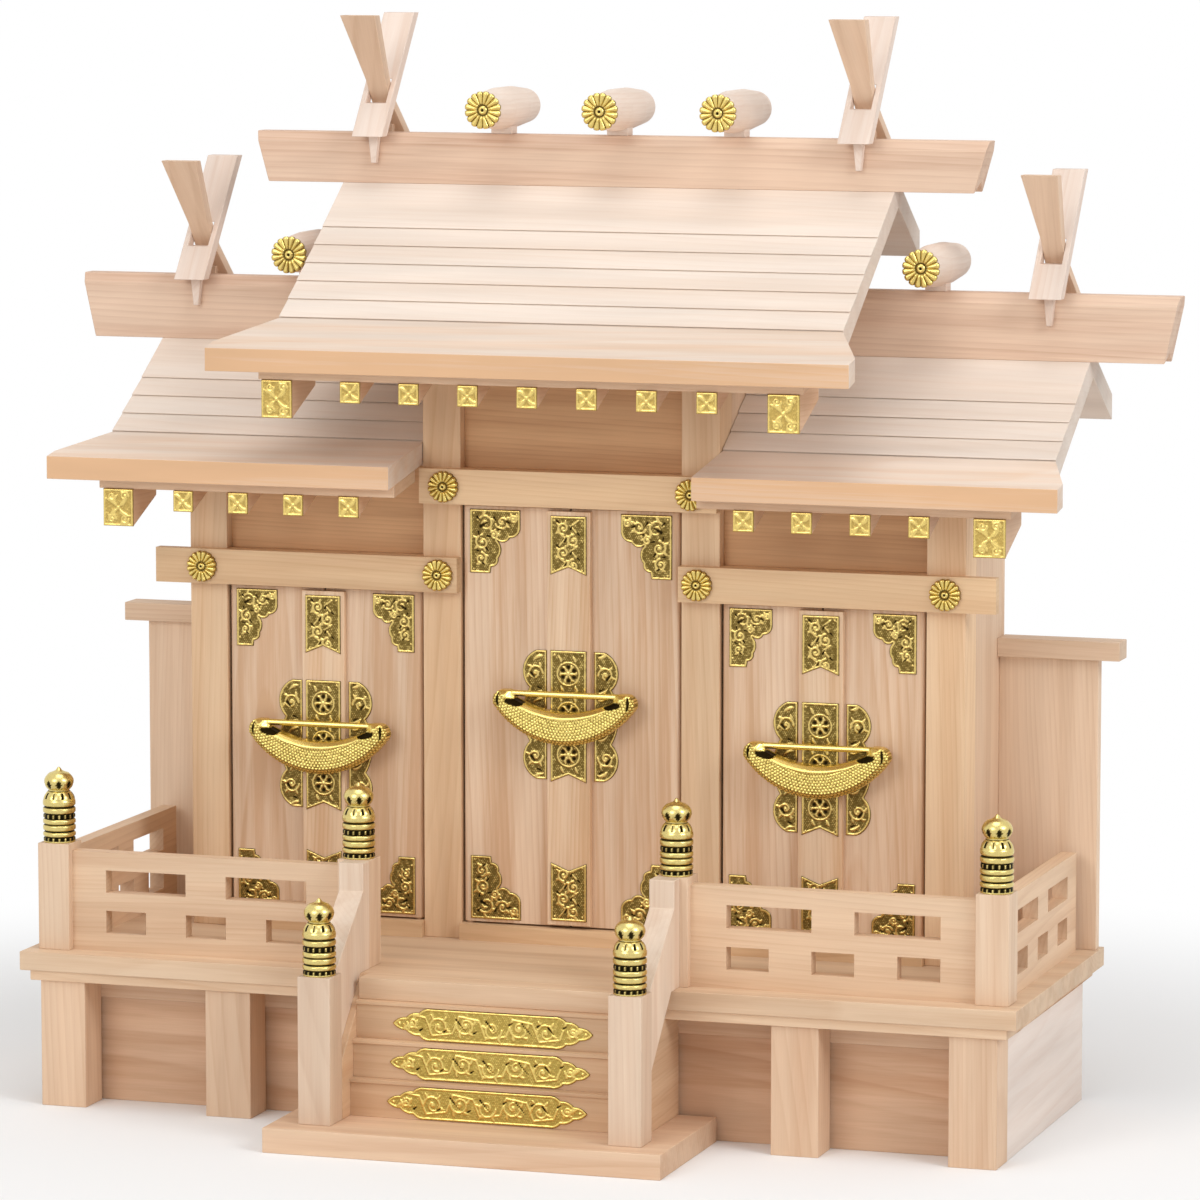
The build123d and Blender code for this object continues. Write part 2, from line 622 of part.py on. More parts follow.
def pitched_boards(side, laps, run, break_setback, x0, x1):
    """Lapped boards of a front roof, from the ridge down to the eave board."""
    drop = roof_drop(side)
    ridge_y = RIDGE_SETBACK
    points = [(BASE_FRONT + ridge_y, roof_line(side, ridge_y))]
    for lap in range(laps - 1, -1, -1):
        setback = break_setback + run * lap
        y = BASE_FRONT + setback
        z = roof_line(side, setback)
        points.append((y + LAP_FACE_RUN, z))
        if lap:
            points.append((y, z - LAP_STEP))
    y = BASE_FRONT + break_setback
    z = roof_line(side, break_setback)
    points.append((y, z))
    points.append((y, z - drop))
    points.append((BASE_FRONT + ridge_y, roof_line(side, ridge_y) - drop))
    return sawn_side(points, x0, x1)


def eave_board(side, half_root, half_tip, inner_x):
    """The flatter board at the foot of a roof, whose ends flare outwards."""
    break_setback = MAIN_BREAK_SETBACK if side == "main" else WING_BREAK_SETBACK
    eave_setback = MAIN_EAVE_SETBACK if side == "main" else WING_EAVE_SETBACK
    y_root = BASE_FRONT + break_setback
    y_tip = BASE_FRONT + eave_setback
    z_root = roof_line(side, break_setback)
    z_tip = roof_line(side, eave_setback)
    outline = [(y_tip, z_tip - EAVE_THICKNESS), (y_tip, z_tip), (y_root, z_root),
               (y_root, z_root - EAVE_THICKNESS)]
    x0 = -half_tip if inner_x is None else inner_x
    board = sawn_side(outline, x0, half_tip)
    y_flare = y_tip + (y_root - y_tip) * EAVE_FLARE_START
    trim = sawn_plan([(half_tip, y_flare), (half_tip + 1, y_tip), (half_tip + 1, y_root + 1),
                      (half_root, y_root + 1), (half_root, y_root)], 0, z_root + 1)
    board -= trim
    if inner_x is None:
        board -= mirror(trim, about=Plane.YZ)
    return board


def eave_strip(side, half_tip, inner_x):
    """A narrower strip under the eave board, set back from its front."""
    eave_setback = MAIN_EAVE_SETBACK if side == "main" else WING_EAVE_SETBACK
    break_setback = MAIN_BREAK_SETBACK if side == "main" else WING_BREAK_SETBACK
    s0 = eave_setback + EAVE_STRIP_SETBACK
    s1 = break_setback - EAVE_STRIP_REAR_SETBACK
    outline = []
    for setback, below in ((s0, 0), (s1, 0), (s1, EAVE_STRIP_THICKNESS), (s0, EAVE_STRIP_THICKNESS)):
        outline.append((BASE_FRONT + setback, roof_line(side, setback) - EAVE_THICKNESS - below))
    half = half_tip - EAVE_STRIP_INSET
    x0 = -half if inner_x is None else inner_x
    return sawn_side(outline, x0, half)


def rear_boards(side, x0, x1):
    """The plain rear slope of a roof."""
    drop = roof_drop(side)
    slope = MAIN_SLOPE if side == "main" else WING_SLOPE
    top = roof_line(side, RIDGE_SETBACK)
    low = top - slope * (REAR_EAVE - RIDGE_Y)
    outline = [(RIDGE_Y, top), (REAR_EAVE, low), (REAR_EAVE, low - drop), (RIDGE_Y, top - drop)]
    return sawn_side(outline, x0, x1)


def roofs():
    """The main roof and the two wing roofs, which stop against the main body."""
    inner = BAY_INNER_X + WING_INNER_GAP
    main_half = MAIN_ROOF_HALF_WIDTH
    wing_half = WING_ROOF_HALF_WIDTH
    main_front = pitched_boards("main", MAIN_LAPS, MAIN_LAP_RUN, MAIN_BREAK_SETBACK, -main_half, main_half)
    wing_front = pitched_boards("wing", WING_LAPS, WING_LAP_RUN, WING_BREAK_SETBACK, inner, wing_half)
    main_eave = eave_board("main", main_half, MAIN_EAVE_HALF_WIDTH, None)
    wing_eave = eave_board("wing", wing_half, WING_EAVE_HALF_WIDTH, inner)
    main_strip = eave_strip("main", MAIN_EAVE_HALF_WIDTH, None)
    wing_strip = eave_strip("wing", WING_EAVE_HALF_WIDTH, inner)
    return {
        "front_roof_boards": [main_front] + both_sides(wing_front),
        "rear_roof_boards": [rear_boards("main", -main_half, main_half)]
        + both_sides(rear_boards("wing", inner, wing_half)),
        "eave_boards": [main_eave] + both_sides(wing_eave),
        "eave_strips": [main_strip] + both_sides(wing_strip),
    }


def rafter(side, x, width, height):
    """One rafter under the eave strip, thinner towards its root, with its gilt cap."""
    eave_setback = MAIN_EAVE_SETBACK if side == "main" else WING_EAVE_SETBACK
    break_setback = MAIN_BREAK_SETBACK if side == "main" else WING_BREAK_SETBACK
    tip = eave_setback + EAVE_STRIP_SETBACK
    root = break_setback - EAVE_STRIP_REAR_SETBACK
    under = EAVE_THICKNESS + EAVE_STRIP_THICKNESS
    tip_top = roof_line(side, tip) - under
    root_top = roof_line(side, root) - under
    root_bottom = min(tip_top - height + RAFTER_SLOPE * (root - tip), root_top - RAFTER_ROOT_HEIGHT)
    outline = [(BASE_FRONT + tip, tip_top - height), (BASE_FRONT + tip, tip_top),
               (BASE_FRONT + root, root_top), (BASE_FRONT + root, root_bottom)]
    stick = sawn_side(outline, x - width / 2, x + width / 2)
    cap = block(x - width / 2, x + width / 2, BASE_FRONT + tip - CAP_THICKNESS, BASE_FRONT + tip,
                tip_top - height, tip_top)
    return stick, cap


def rafters():
    """Rafters in rows, larger at the corners."""
    sticks = []
    caps = []
    for k in range(-3, 4):
        stick, cap = rafter("main", k * RAFTER_PITCH, RAFTER_SIZE, RAFTER_SIZE)
        sticks.append(stick)
        caps.append(cap)
    stick, cap = rafter("main", MAIN_CORNER_RAFTER_X, CORNER_RAFTER_WIDTH, CORNER_RAFTER_HEIGHT)
    sticks += both_sides(stick)
    caps += both_sides(cap)
    for k in range(4):
        stick, cap = rafter("wing", WING_FIRST_RAFTER_X + k * WING_RAFTER_PITCH, RAFTER_SIZE, RAFTER_SIZE)
        sticks += both_sides(stick)
        caps += both_sides(cap)
    stick, cap = rafter("wing", WING_CORNER_RAFTER_X, CORNER_RAFTER_WIDTH, CORNER_RAFTER_HEIGHT)
    sticks += both_sides(stick)
    caps += both_sides(cap)
    return {"rafters": sticks, "rafter_caps": caps}


def ridge_bottom(side):
    """Height of a ridge beam's lower front edge, where its notch sits on the roof's peak."""
    slope = MAIN_SLOPE if side == "main" else WING_SLOPE
    return roof_line(side, RIDGE_SETBACK) - RIDGE_THICKNESS / 2 * slope


def ridge_top(side):
    """Height of a ridge beam's top."""
    return ridge_bottom(side) + (MAIN_RIDGE_HEIGHT if side == "main" else WING_RIDGE_HEIGHT)


def ridge_beam(side):
    """A deep ridge beam, whose ends slant inwards downwards and whose top edges are bevelled."""
    half = MAIN_RIDGE_HALF if side == "main" else WING_RIDGE_HALF
    x_in = -half if side == "main" else BAY_INNER_X + WING_INNER_GAP
    y0 = RIDGE_Y - RIDGE_THICKNESS / 2
    y1 = RIDGE_Y + RIDGE_THICKNESS / 2
    bottom = ridge_bottom(side)
    top = ridge_top(side)
    flat = RIDGE_BEVEL * 2 / 3
    section = [(y0, bottom), (y0, top - RIDGE_BEVEL), (y0 + flat, top), (y1 - flat, top),
               (y1, top - RIDGE_BEVEL), (y1, bottom), (RIDGE_Y, roof_line(side, RIDGE_SETBACK))]
    beam = sawn_side(section, x_in, half)
    end_cut = sawn_front([(half - RIDGE_END_SLANT, bottom), (half, top), (half + 1, top + 1),
                          (half + 1, bottom - 1), (half - RIDGE_END_SLANT, bottom - 1)], y0 - 1, y1 + 1)
    beam -= end_cut
    if side == "main":
        beam -= mirror(end_cut, about=Plane.YZ)
    return beam


def ridges():
    """One ridge beam on each roof."""
    return {"ridge_beams": [ridge_beam("main")] + both_sides(ridge_beam("wing"))}


def flower_disc(x, back, z, radius, thickness):
    """A thick gilt disc with one flat for each of its sixteen petals."""
    face = Plane.XZ * make_face(RegularPolygon(radius, DISC_PETALS).wire())
    return Pos(x, back, z) * extrude(face, amount=thickness)


def billet(x, seat):
    """A log with tapered ends across the ridge on a small saddle, and its gilt front disc."""
    z = seat + BILLET_RISE
    half = BILLET_LENGTH / 2
    waist = half / 3
    profile = make_face(Polyline((0, -half), (BILLET_END_RADIUS, -half), (BILLET_RADIUS, -waist),
                                 (BILLET_RADIUS, waist), (BILLET_END_RADIUS, half), (0, half), close=True))
    log = Pos(x, RIDGE_Y, z) * revolve(profile, axis=Axis.Y)
    log += block(x - SADDLE_WIDTH / 2, x + SADDLE_WIDTH / 2, RIDGE_Y - SADDLE_DEPTH / 2,
                 RIDGE_Y + SADDLE_DEPTH / 2, seat, z - BILLET_RADIUS / 2)
    cap = flower_disc(x, RIDGE_Y - half, z, BILLET_CAP_RADIUS, BILLET_CAP_THICKNESS)
    return log, cap


def billets():
    """Three logs on the main ridge and one on each wing ridge."""
    logs = []
    caps = []
    for k in (-1, 0, 1):
        log, cap = billet(k * MAIN_BILLET_PITCH, ridge_top("main"))
        logs.append(log)
        caps.append(cap)
    log, cap = billet(WING_BILLET_X, ridge_top("wing"))
    return {"ridge_billets": logs + both_sides(log), "billet_caps": caps + both_sides(cap)}


def finial_pair(x, seat):
    """Two straight blades that cross above a ridge: the front one's neck passes through a slot in
    the rear one, and a tapered tang under each foot lies against the ridge's side."""
    cross = seat + BLADE_CROSS_RISE
    top = seat + BLADE_TOP_RISE
    foot = seat - BLADE_FOOT_DROP
    lean = BLADE_SPREAD / (BLADE_TOP_RISE - BLADE_CROSS_RISE)
    angle = atan(lean)
    half_level = BLADE_THICKNESS / 2 / cos(angle)
    half_meet = BLADE_THICKNESS / 2 / sin(angle)
    tang_face = RIDGE_THICKNESS / 2 + TANG_CLEARANCE

    def straight(forward):
        """The blade in side view: its top is before the ridge where forward is -1."""
        y_top = RIDGE_Y + forward * lean * (top - cross)
        y_foot = RIDGE_Y + forward * lean * (foot - cross)
        outline = [(y_top - half_level, top), (y_top + half_level, top),
                   (y_foot + half_level, foot), (y_foot - half_level, foot)]
        return sawn_side(outline, x - BLADE_TOP_WIDTH / 2, x + BLADE_TOP_WIDTH / 2)

    def tang(forward):
        """The tapered tang under a foot."""
        y0, y1 = sorted((RIDGE_Y - forward * tang_face, RIDGE_Y - forward * (tang_face + TANG_THICKNESS)))
        tip = seat - TANG_DROP
        shoulder = seat + TANG_THICKNESS
        return sawn_front([(x - TANG_WIDTH / 2, shoulder), (x + TANG_WIDTH / 2, shoulder),
                           (x + TANG_TIP_WIDTH / 2, tip), (x - TANG_TIP_WIDTH / 2, tip)], y0, y1)

    y0 = RIDGE_Y - 2 * BLADE_SPREAD
    y1 = RIDGE_Y + 2 * BLADE_SPREAD
    neck = BLADE_NECK_WIDTH / 2
    waist = half_meet + BLADE_WAIST_ALLOWANCE
    half_top = BLADE_TOP_WIDTH / 2
    half_foot = BLADE_WIDTH / 2
    tapered = sawn_front([(x - half_top, top), (x + half_top, top), (x + neck, cross + waist),
                          (x + neck, cross - waist), (x + half_foot, foot), (x - half_foot, foot),
                          (x - neck, cross - waist), (x - neck, cross + waist)], y0, y1)
    even = block(x - half_foot, x + half_foot, y0, y1, foot, top)
    slot_half = neck + BLADE_CLEARANCE
    slot = block(x - slot_half, x + slot_half, y0, y1, cross - waist, cross + waist)
    front = (straight(-1) & tapered) + tang(-1)
    rear = (straight(1) & even) - slot + tang(1)
    return front, rear


def finials():
    """Crossed blades at both ends of the main ridge and at the outer end of each wing ridge."""
    main_front, main_rear = finial_pair(MAIN_CHIGI_X, ridge_top("main"))
    wing_front, wing_rear = finial_pair(WING_CHIGI_X, ridge_top("wing"))
    return {
        "finial_front_blades": both_sides(main_front, wing_front),
        "finial_rear_blades": both_sides(main_rear, wing_rear),
    }


def rosettes():
    """Round gilt studs where the crossbeams meet the posts."""
    studs = []
    for x, z in ((INNER_POST_X - INNER_ROSETTE_INSET, MAIN_BEAM_Z + BEAM_HEIGHT / 2),
                 (INNER_POST_X, WING_BEAM_Z + BEAM_HEIGHT / 2),
                 (OUTER_POST_X + OUTER_ROSETTE_OFFSET, WING_BEAM_Z + BEAM_HEIGHT / 2)):
        studs.append(flower_disc(x, BEAM_FRONT, z, ROSETTE_RADIUS, ROSETTE_THICKNESS))
    return {"beam_rosettes": both_sides(*studs)}


def door_leaf(pivot_x, inward, meeting_x, z0, z1):
    """A plain leaf with a rounded heel and a round pin at its top and bottom."""
    half = LEAF_THICKNESS / 2
    edge_x = meeting_x - inward * LEAF_GAP / 2
    x0, x1 = sorted((pivot_x, edge_x))
    leaf = block(x0, x1, HINGE_Y - half, HINGE_Y + half, z0, z1)
    leaf += Pos(pivot_x, HINGE_Y, (z0 + z1) / 2) * Cylinder(half, z1 - z0)
    leaf += Pos(pivot_x, HINGE_Y, (z0 + z1) / 2) * Cylinder(PIN_RADIUS, z1 - z0 + 2 * PIN_LENGTH)
    return leaf


def doors():
    """Three pairs of leaves: each right leaf carries the cover batten and the lock."""
    nodes = {}
    pivots = pivot_positions()
    front = HINGE_Y - LEAF_THICKNESS / 2
    for shrine, beam_z in (("main", MAIN_BEAM_Z), ("left", WING_BEAM_Z), ("right", WING_BEAM_Z)):
        left_x = pivots[(shrine, "left")][0]
        right_x = pivots[(shrine, "right")][0]
        middle = (left_x + right_x) / 2
        z0 = SILL_TOP + LEAF_GAP
        z1 = beam_z - LEAF_GAP
        for side in ("left", "right"):
            x, inward = pivots[(shrine, side)]
            nodes[f"{shrine}_door_{side}"] = [door_leaf(x, inward, middle, z0, z1)]
        half = BATTEN_WIDTH / 2
        batten = block(middle - half, middle + half, front - BATTEN_THICKNESS, front - BATTEN_CLEARANCE,
                       z0 + BATTEN_END_GAP, z1 - BATTEN_END_GAP)
        batten += block(middle + LEAF_GAP, middle + half, front - BATTEN_CLEARANCE, front,
                        z0 + BATTEN_END_GAP, z1 - BATTEN_END_GAP)
        nodes[f"{shrine}_door_batten"] = [batten]
        nodes.update(door_metal(shrine, left_x, right_x, middle, z0, z1, front))
    return nodes


def corner_outline(width, height):
    """A corner plate in front view from its corner: two arms whose inner edge is cut in lobes."""
    w, h = width, height
    return [(0, 0), (w, 0), (w, h * 0.28), ((w * 0.93, h * 0.40), (w * 0.79, h * 0.44)),
            ((w * 0.68, h * 0.51), (w * 0.54, h * 0.48)), ((w * 0.62, h * 0.62), (w * 0.56, h * 0.76)),
            ((w * 0.53, h * 0.86), (w * 0.42, h * 0.90)), (w * 0.40, h), (0, h)]


def flank_outline():
    """The plate beside the lock: three lobes away from the batten."""
    inner = BATTEN_WIDTH / 2 + FLANK_GAP
    reach = FLANK_REACH
    h = FLANK_HALF_HEIGHT
    waist_x = reach - FLANK_WAIST
    waist_z = h * 0.42
    head = inner + FLANK_HEAD
    return [(inner, h), (head, h), ((reach - 0.2, h * 0.72), (waist_x, waist_z)),
            ((reach, 0.0), (waist_x, -waist_z)), ((reach - 0.2, -h * 0.72), (head, -h)), (inner, -h)]


def batten_plate_outline(width, height):
    """A plate on the batten, from its outer end: the inner end is cut to an upturned V."""
    half = width / 2
    return [(-half, 0), (half, 0), (half, height), (0, height - BATTEN_PLATE_NOTCH), (-half, height)]


def lock_solid(x, z, back):
    """A boat-shaped padlock: a fat crescent under a straight bar, which two staples hold."""
    wide = LOCK_HALF_WIDTH
    high = LOCK_HALF_HEIGHT
    opening = LOCK_OPENING_HALF
    bar_z = high - LOCK_BAR_RADIUS
    horn = bar_z - LOCK_BAR_RADIUS
    end = wide - LOCK_END_RUN
    path = [(-wide, high * 0.45), ((0, -high), (wide, high * 0.45)),
            ((wide - 0.4, high * 0.82), (end, high)), (opening + 1.0, high), (opening, horn),
            ((0, LOCK_BODY_TOP), (-opening, horn)), (-opening - 1.0, high), (-end, high),
            ((-wide + 0.4, high * 0.82), (-wide, high * 0.45))]
    y1 = back - LOCK_STANDOFF
    boat = cut_sheet(placed(path, x, z), y1, LOCK_DEPTH)
    front_face = boat.faces().sort_by(Axis.Y)[0]
    boat = chamfer(front_face.edges(), length=LOCK_ROUNDING)
    middle_y = y1 - LOCK_DEPTH / 2
    bar = Pos(x, middle_y, z + bar_z) * Rot(0, 90, 0) * Cylinder(LOCK_BAR_RADIUS, 2 * opening + 2)
    lock = boat + bar
    for side in (-1, 1):
        staple_x = x + side * STAPLE_SPACING / 2
        lock += block(staple_x - STAPLE_WIDTH / 2, staple_x + STAPLE_WIDTH / 2, middle_y, back,
                      z + horn, z + high)
    return lock


def door_metal(shrine, left_x, right_x, middle, z0, z1, front):
    """Gilt plates of both leaves, and the lock on the batten."""
    size = MAIN_CORNER_PLATE if shrine == "main" else WING_CORNER_PLATE
    corner = corner_outline(*size)
    plates = {-1: [], 1: []}
    for side, x in ((-1, left_x), (1, right_x)):
        for z, z_sign in ((z0 + PLATE_MARGIN, 1), (z1 - PLATE_MARGIN, -1)):
            plates[side].append(cut_sheet(placed(corner, x + side * -PLATE_INSET, z, -side, z_sign), front))
    lock_z = MAIN_LOCK_Z if shrine == "main" else WING_LOCK_Z
    for side in (-1, 1):
        plates[side].append(cut_sheet(placed(flank_outline(), middle, lock_z, side), front))
    batten_front = front - BATTEN_THICKNESS
    batten_ends = ((z0 + 2 * PLATE_MARGIN, 1), (z1 - 2 * PLATE_MARGIN, -1))
    end_plate = batten_plate_outline(BATTEN_PLATE_WIDTH, BATTEN_PLATE_HEIGHT)
    for z, z_sign in batten_ends:
        plates[1].append(cut_sheet(placed(end_plate, middle, z, 1, z_sign), batten_front))
    escutcheon = batten_plate_outline(BATTEN_PLATE_WIDTH, ESCUTCHEON_HEIGHT)
    top = lock_z + ESCUTCHEON_HEIGHT / 2
    plates[1].append(cut_sheet(placed(escutcheon, middle, top, 1, -1), batten_front))
    return {
        f"{shrine}_door_plates_left": plates[-1],
        f"{shrine}_door_plates_right": plates[1],
        f"{shrine}_lock": [lock_solid(middle, lock_z, batten_front - PLATE_THICKNESS)],
    }


def main():
    """Build every node and write one STEP file for each."""
    nodes = {}
    for make in (plinth, veranda_floor, stairs, stair_plates, veranda, post_caps, body_frame,
                 transom_panels, body_walls, screens, roofs, rafters, ridges, billets, finials,
                 rosettes, doors):
        nodes.update(make())
    os.makedirs("parts", exist_ok=True)
    for name, solids in nodes.items():
        shape = solids[0] if len(solids) == 1 else Compound(children=solids)
        export_step(shape, f"parts/{name}.step")


main()
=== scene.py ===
import bpy
import bmesh
import json
import math
import random
import numpy
from mathutils import Euler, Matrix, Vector
from mathutils.geometry import delaunay_2d_cdt

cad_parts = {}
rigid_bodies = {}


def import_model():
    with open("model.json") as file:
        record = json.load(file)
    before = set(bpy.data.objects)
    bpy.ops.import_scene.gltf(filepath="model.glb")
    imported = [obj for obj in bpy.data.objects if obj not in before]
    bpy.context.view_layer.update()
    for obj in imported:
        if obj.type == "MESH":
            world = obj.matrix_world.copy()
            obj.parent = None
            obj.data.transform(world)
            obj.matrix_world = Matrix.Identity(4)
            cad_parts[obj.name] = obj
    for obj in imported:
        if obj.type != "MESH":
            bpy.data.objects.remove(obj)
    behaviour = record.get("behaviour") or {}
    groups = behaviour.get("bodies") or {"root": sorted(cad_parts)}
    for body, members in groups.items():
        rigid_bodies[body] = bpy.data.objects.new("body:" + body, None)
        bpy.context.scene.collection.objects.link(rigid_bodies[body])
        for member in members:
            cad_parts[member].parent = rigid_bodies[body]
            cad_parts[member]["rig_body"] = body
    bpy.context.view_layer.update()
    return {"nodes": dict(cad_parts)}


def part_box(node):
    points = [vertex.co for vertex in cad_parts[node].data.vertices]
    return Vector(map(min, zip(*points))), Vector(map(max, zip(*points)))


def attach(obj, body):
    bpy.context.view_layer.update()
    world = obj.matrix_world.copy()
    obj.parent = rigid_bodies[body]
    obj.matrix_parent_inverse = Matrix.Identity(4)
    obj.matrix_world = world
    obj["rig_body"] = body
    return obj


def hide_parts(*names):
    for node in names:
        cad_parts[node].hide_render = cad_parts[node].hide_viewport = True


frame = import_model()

LENS_MM = 180.74
SENSOR_MM = 36.0
CAMERA_PLACE = Vector((0.8477, -2.5376, 0.5623))
CAMERA_TILT_DOWN = math.radians(7.061)
CAMERA_TURN = math.radians(18.04)

scene = bpy.context.scene
lens = bpy.data.cameras.new("studio_camera")
lens.lens = LENS_MM
lens.sensor_width = SENSOR_MM
lens.sensor_fit = "HORIZONTAL"
lens.clip_end = 50.0
camera = bpy.data.objects.new("studio_camera", lens)
camera.location = CAMERA_PLACE
camera.rotation_euler = Euler((math.pi / 2 - CAMERA_TILT_DOWN, 0.0, CAMERA_TURN))
scene.collection.objects.link(camera)
scene.camera = camera
scene.view_settings.view_transform = "Standard"

# The white studio
# A pale table under soft lamps: the strongest to the right, one in front and one above. The
# table keeps the shrine's shadow and turns to plain white further off, as the sky behind it is.
FLOOR_HALF = 8.0
FLOOR_COLOUR = (0.90, 0.90, 0.90, 1.0)
SHADOW_REACH = (0.34, 0.62)
SKY_STRENGTH = 0.60
LAMP_AIM = Vector((0, 0, 0.2))
LAMPS = {
    "right_lamp": ((2.4, -1.1, 1.7), 1.3, 28.0, (0.96, 0.98, 1.0)),
    "front_lamp": ((-0.9, -2.7, 1.5), 1.5, 22.0, (1.0, 0.985, 0.96)),
    "top_lamp": ((0.1, -0.5, 2.6), 1.6, 15.5, (0.98, 0.99, 1.0)),
}


def empty_material(name):
    """A material with its output and nothing else."""
    material = bpy.data.materials.new(name)
    material.use_nodes = True
    tree = material.node_tree
    tree.nodes.clear()
    return material, tree, tree.nodes.new("ShaderNodeOutputMaterial")


def node_in(tree, kind, values=None, **settings):
    """A node with its settings, and with numbers or other nodes' outputs in its sockets."""
    node = tree.nodes.new("ShaderNode" + kind)
    for setting, value in settings.items():
        setattr(node, setting, value)
    for socket, value in (values or {}).items():
        if isinstance(value, bpy.types.NodeSocket):
            tree.links.new(value, node.inputs[socket])
        else:
            node.inputs[socket].default_value = value
    return node


def worked(tree, operation, first, second=0.0, third=0.0, clamped=False):
    """One step of arithmetic."""
    return node_in(tree, "Math", {0: first, 1: second, 2: third}, operation=operation,
                   use_clamp=clamped).outputs[0]


def carried(tree, value, source=(0.0, 1.0), target=(0.0, 1.0), eased=False):
    """A value carried from one range over to another."""
    return node_in(tree, "MapRange", {"Value": value, "From Min": source[0], "From Max": source[1],
                                      "To Min": target[0], "To Max": target[1]},
                   interpolation_type="SMOOTHSTEP" if eased else "LINEAR").outputs["Result"]


def seen_straight(tree):
    """One where the camera, glossy or clear rays look, and nought for the light on the object."""
    path = node_in(tree, "LightPath").outputs
    glossy = worked(tree, "MAXIMUM", path["Is Camera Ray"], path["Is Glossy Ray"])
    return worked(tree, "MAXIMUM", glossy, path["Is Transmission Ray"])


sky = bpy.data.worlds.new("studio_sky")
sky.use_nodes = True
sky_tree = sky.node_tree
background = sky_tree.nodes["Background"]
background.inputs["Color"].default_value = (1.0, 1.0, 1.0, 1.0)
sky_tree.links.new(carried(sky_tree, seen_straight(sky_tree), target=(SKY_STRENGTH, 1.0)),
                   background.inputs["Strength"])
scene.world = sky

floor_mesh = bpy.data.meshes.new("studio_floor")
floor_mesh.from_pydata([(-FLOOR_HALF, -FLOOR_HALF, 0), (FLOOR_HALF, -FLOOR_HALF, 0),
                        (FLOOR_HALF, FLOOR_HALF, 0), (-FLOOR_HALF, FLOOR_HALF, 0)], [], [(0, 1, 2, 3)])
floor = bpy.data.objects.new("studio_floor", floor_mesh)
scene.collection.objects.link(floor)
floor_material, floor_tree, floor_out = empty_material("studio_floor")
floor_paint = node_in(floor_tree, "BsdfDiffuse", {"Color": FLOOR_COLOUR})
floor_white = node_in(floor_tree, "Emission", {"Color": (1.0, 1.0, 1.0, 1.0), "Strength": 1.0})
from_middle = node_in(floor_tree, "VectorMath", {0: node_in(floor_tree, "TexCoord").outputs["Object"]},
                      operation="LENGTH")
away = carried(floor_tree, from_middle.outputs["Value"], SHADOW_REACH, eased=True)
white_part = worked(floor_tree, "MULTIPLY", away, seen_straight(floor_tree))
floor_mix = node_in(floor_tree, "MixShader", {0: white_part, 1: floor_paint.outputs[0],
                                              2: floor_white.outputs[0]})
floor_tree.links.new(floor_mix.outputs[0], floor_out.inputs["Surface"])
floor_mesh.materials.append(floor_material)

for lamp_name, (place, size, power, colour) in LAMPS.items():
    lamp = bpy.data.lights.new(lamp_name, "AREA")
    lamp.shape = "DISK"
    lamp.size = size
    lamp.energy = power
    lamp.color = colour
    lamp_object = bpy.data.objects.new(lamp_name, lamp)
    lamp_object.location = place
    lamp_object.rotation_euler = (LAMP_AIM - Vector(place)).to_track_quat("-Z", "Y").to_euler()
    scene.collection.objects.link(lamp_object)

# Plinth
# Square cypress posts, with a recessed board and a rail between them and plain boards at the sides
# and back, are pegged together, planed and left bare. Each stick comes from its own place in the
# log, so its growth rings and tone differ from the next one's.
MM = 0.001
EASED_EDGE = 0.3
SHARP_ANGLE = math.radians(20)
FLAT_ANGLE = math.radians(0.5)
SAME_POINT = 1e-6
QUARTER_SAWN = ((0.07, 0.16), (-0.012, 0.012))
RIFT_SAWN = ((0.04, 0.09), (0.04, 0.09))
FLAT_SAWN = ((-0.025, 0.025), (0.035, 0.07))


def group_with_sockets(name, inputs, outputs):
    """A node group with named sockets: name, kind and first value of each."""
    group = bpy.data.node_groups.new(name, "ShaderNodeTree")
    for socket_name, kind, value in inputs:
        socket = group.interface.new_socket(socket_name, in_out="INPUT", socket_type=kind)
        socket.default_value = value
    for socket_name, kind in outputs:
        group.interface.new_socket(socket_name, in_out="OUTPUT", socket_type=kind)
    return group, group.nodes.new("NodeGroupInput"), group.nodes.new("NodeGroupOutput")


# Growth rings round the pith, tapering and waving along the stick, with fibres and broad patches.
# Each pitch is in cycles a metre along the grain and across it.
LOG_WANDER_PITCH = (2.4, 14.0, 14.0)
LOG_SWAY = (0.0, 0.016, 0.016)
LOG_TAPER = 0.03
RING_RISE = 2.6
FIBRE_PITCH = (60.0, 2400.0, 2400.0)
PATCH_PITCH = (9.0, 70.0, 70.0)
STREAK_PITCH = (3.0, 70.0, 70.0)
PATCH_TONE = 0.06
grain_group, grain_in, grain_out = group_with_sockets(
    "Cypress grain",
    [("Early Wood", "NodeSocketColor", (0.80, 0.62, 0.45, 1)),
     ("Late Wood", "NodeSocketColor", (0.62, 0.40, 0.25, 1)),
     ("Ring Spacing", "NodeSocketFloat", 0.0021),
     ("Ring Strength", "NodeSocketFloat", 0.5),
     ("Tone Spread", "NodeSocketFloat", 0.10),
     ("Edge Painted Shade", "NodeSocketFloat", 0.0)],
    [("Colour", "NodeSocketColor"), ("Roughness", "NodeSocketFloat"), ("Height", "NodeSocketFloat")])
in_log, stick_tone, cut_end, cut_edge = (
    node_in(grain_group, "Attribute", attribute_name=title).outputs
    for title in ("log_place", "stick_tone", "cut_end", "cut_edge"))


def vector_step(operation, first, second=(0.0, 0.0, 0.0)):
    """One step of arithmetic on places in the log."""
    return node_in(grain_group, "VectorMath", {0: first, 1: second}, operation=operation).outputs


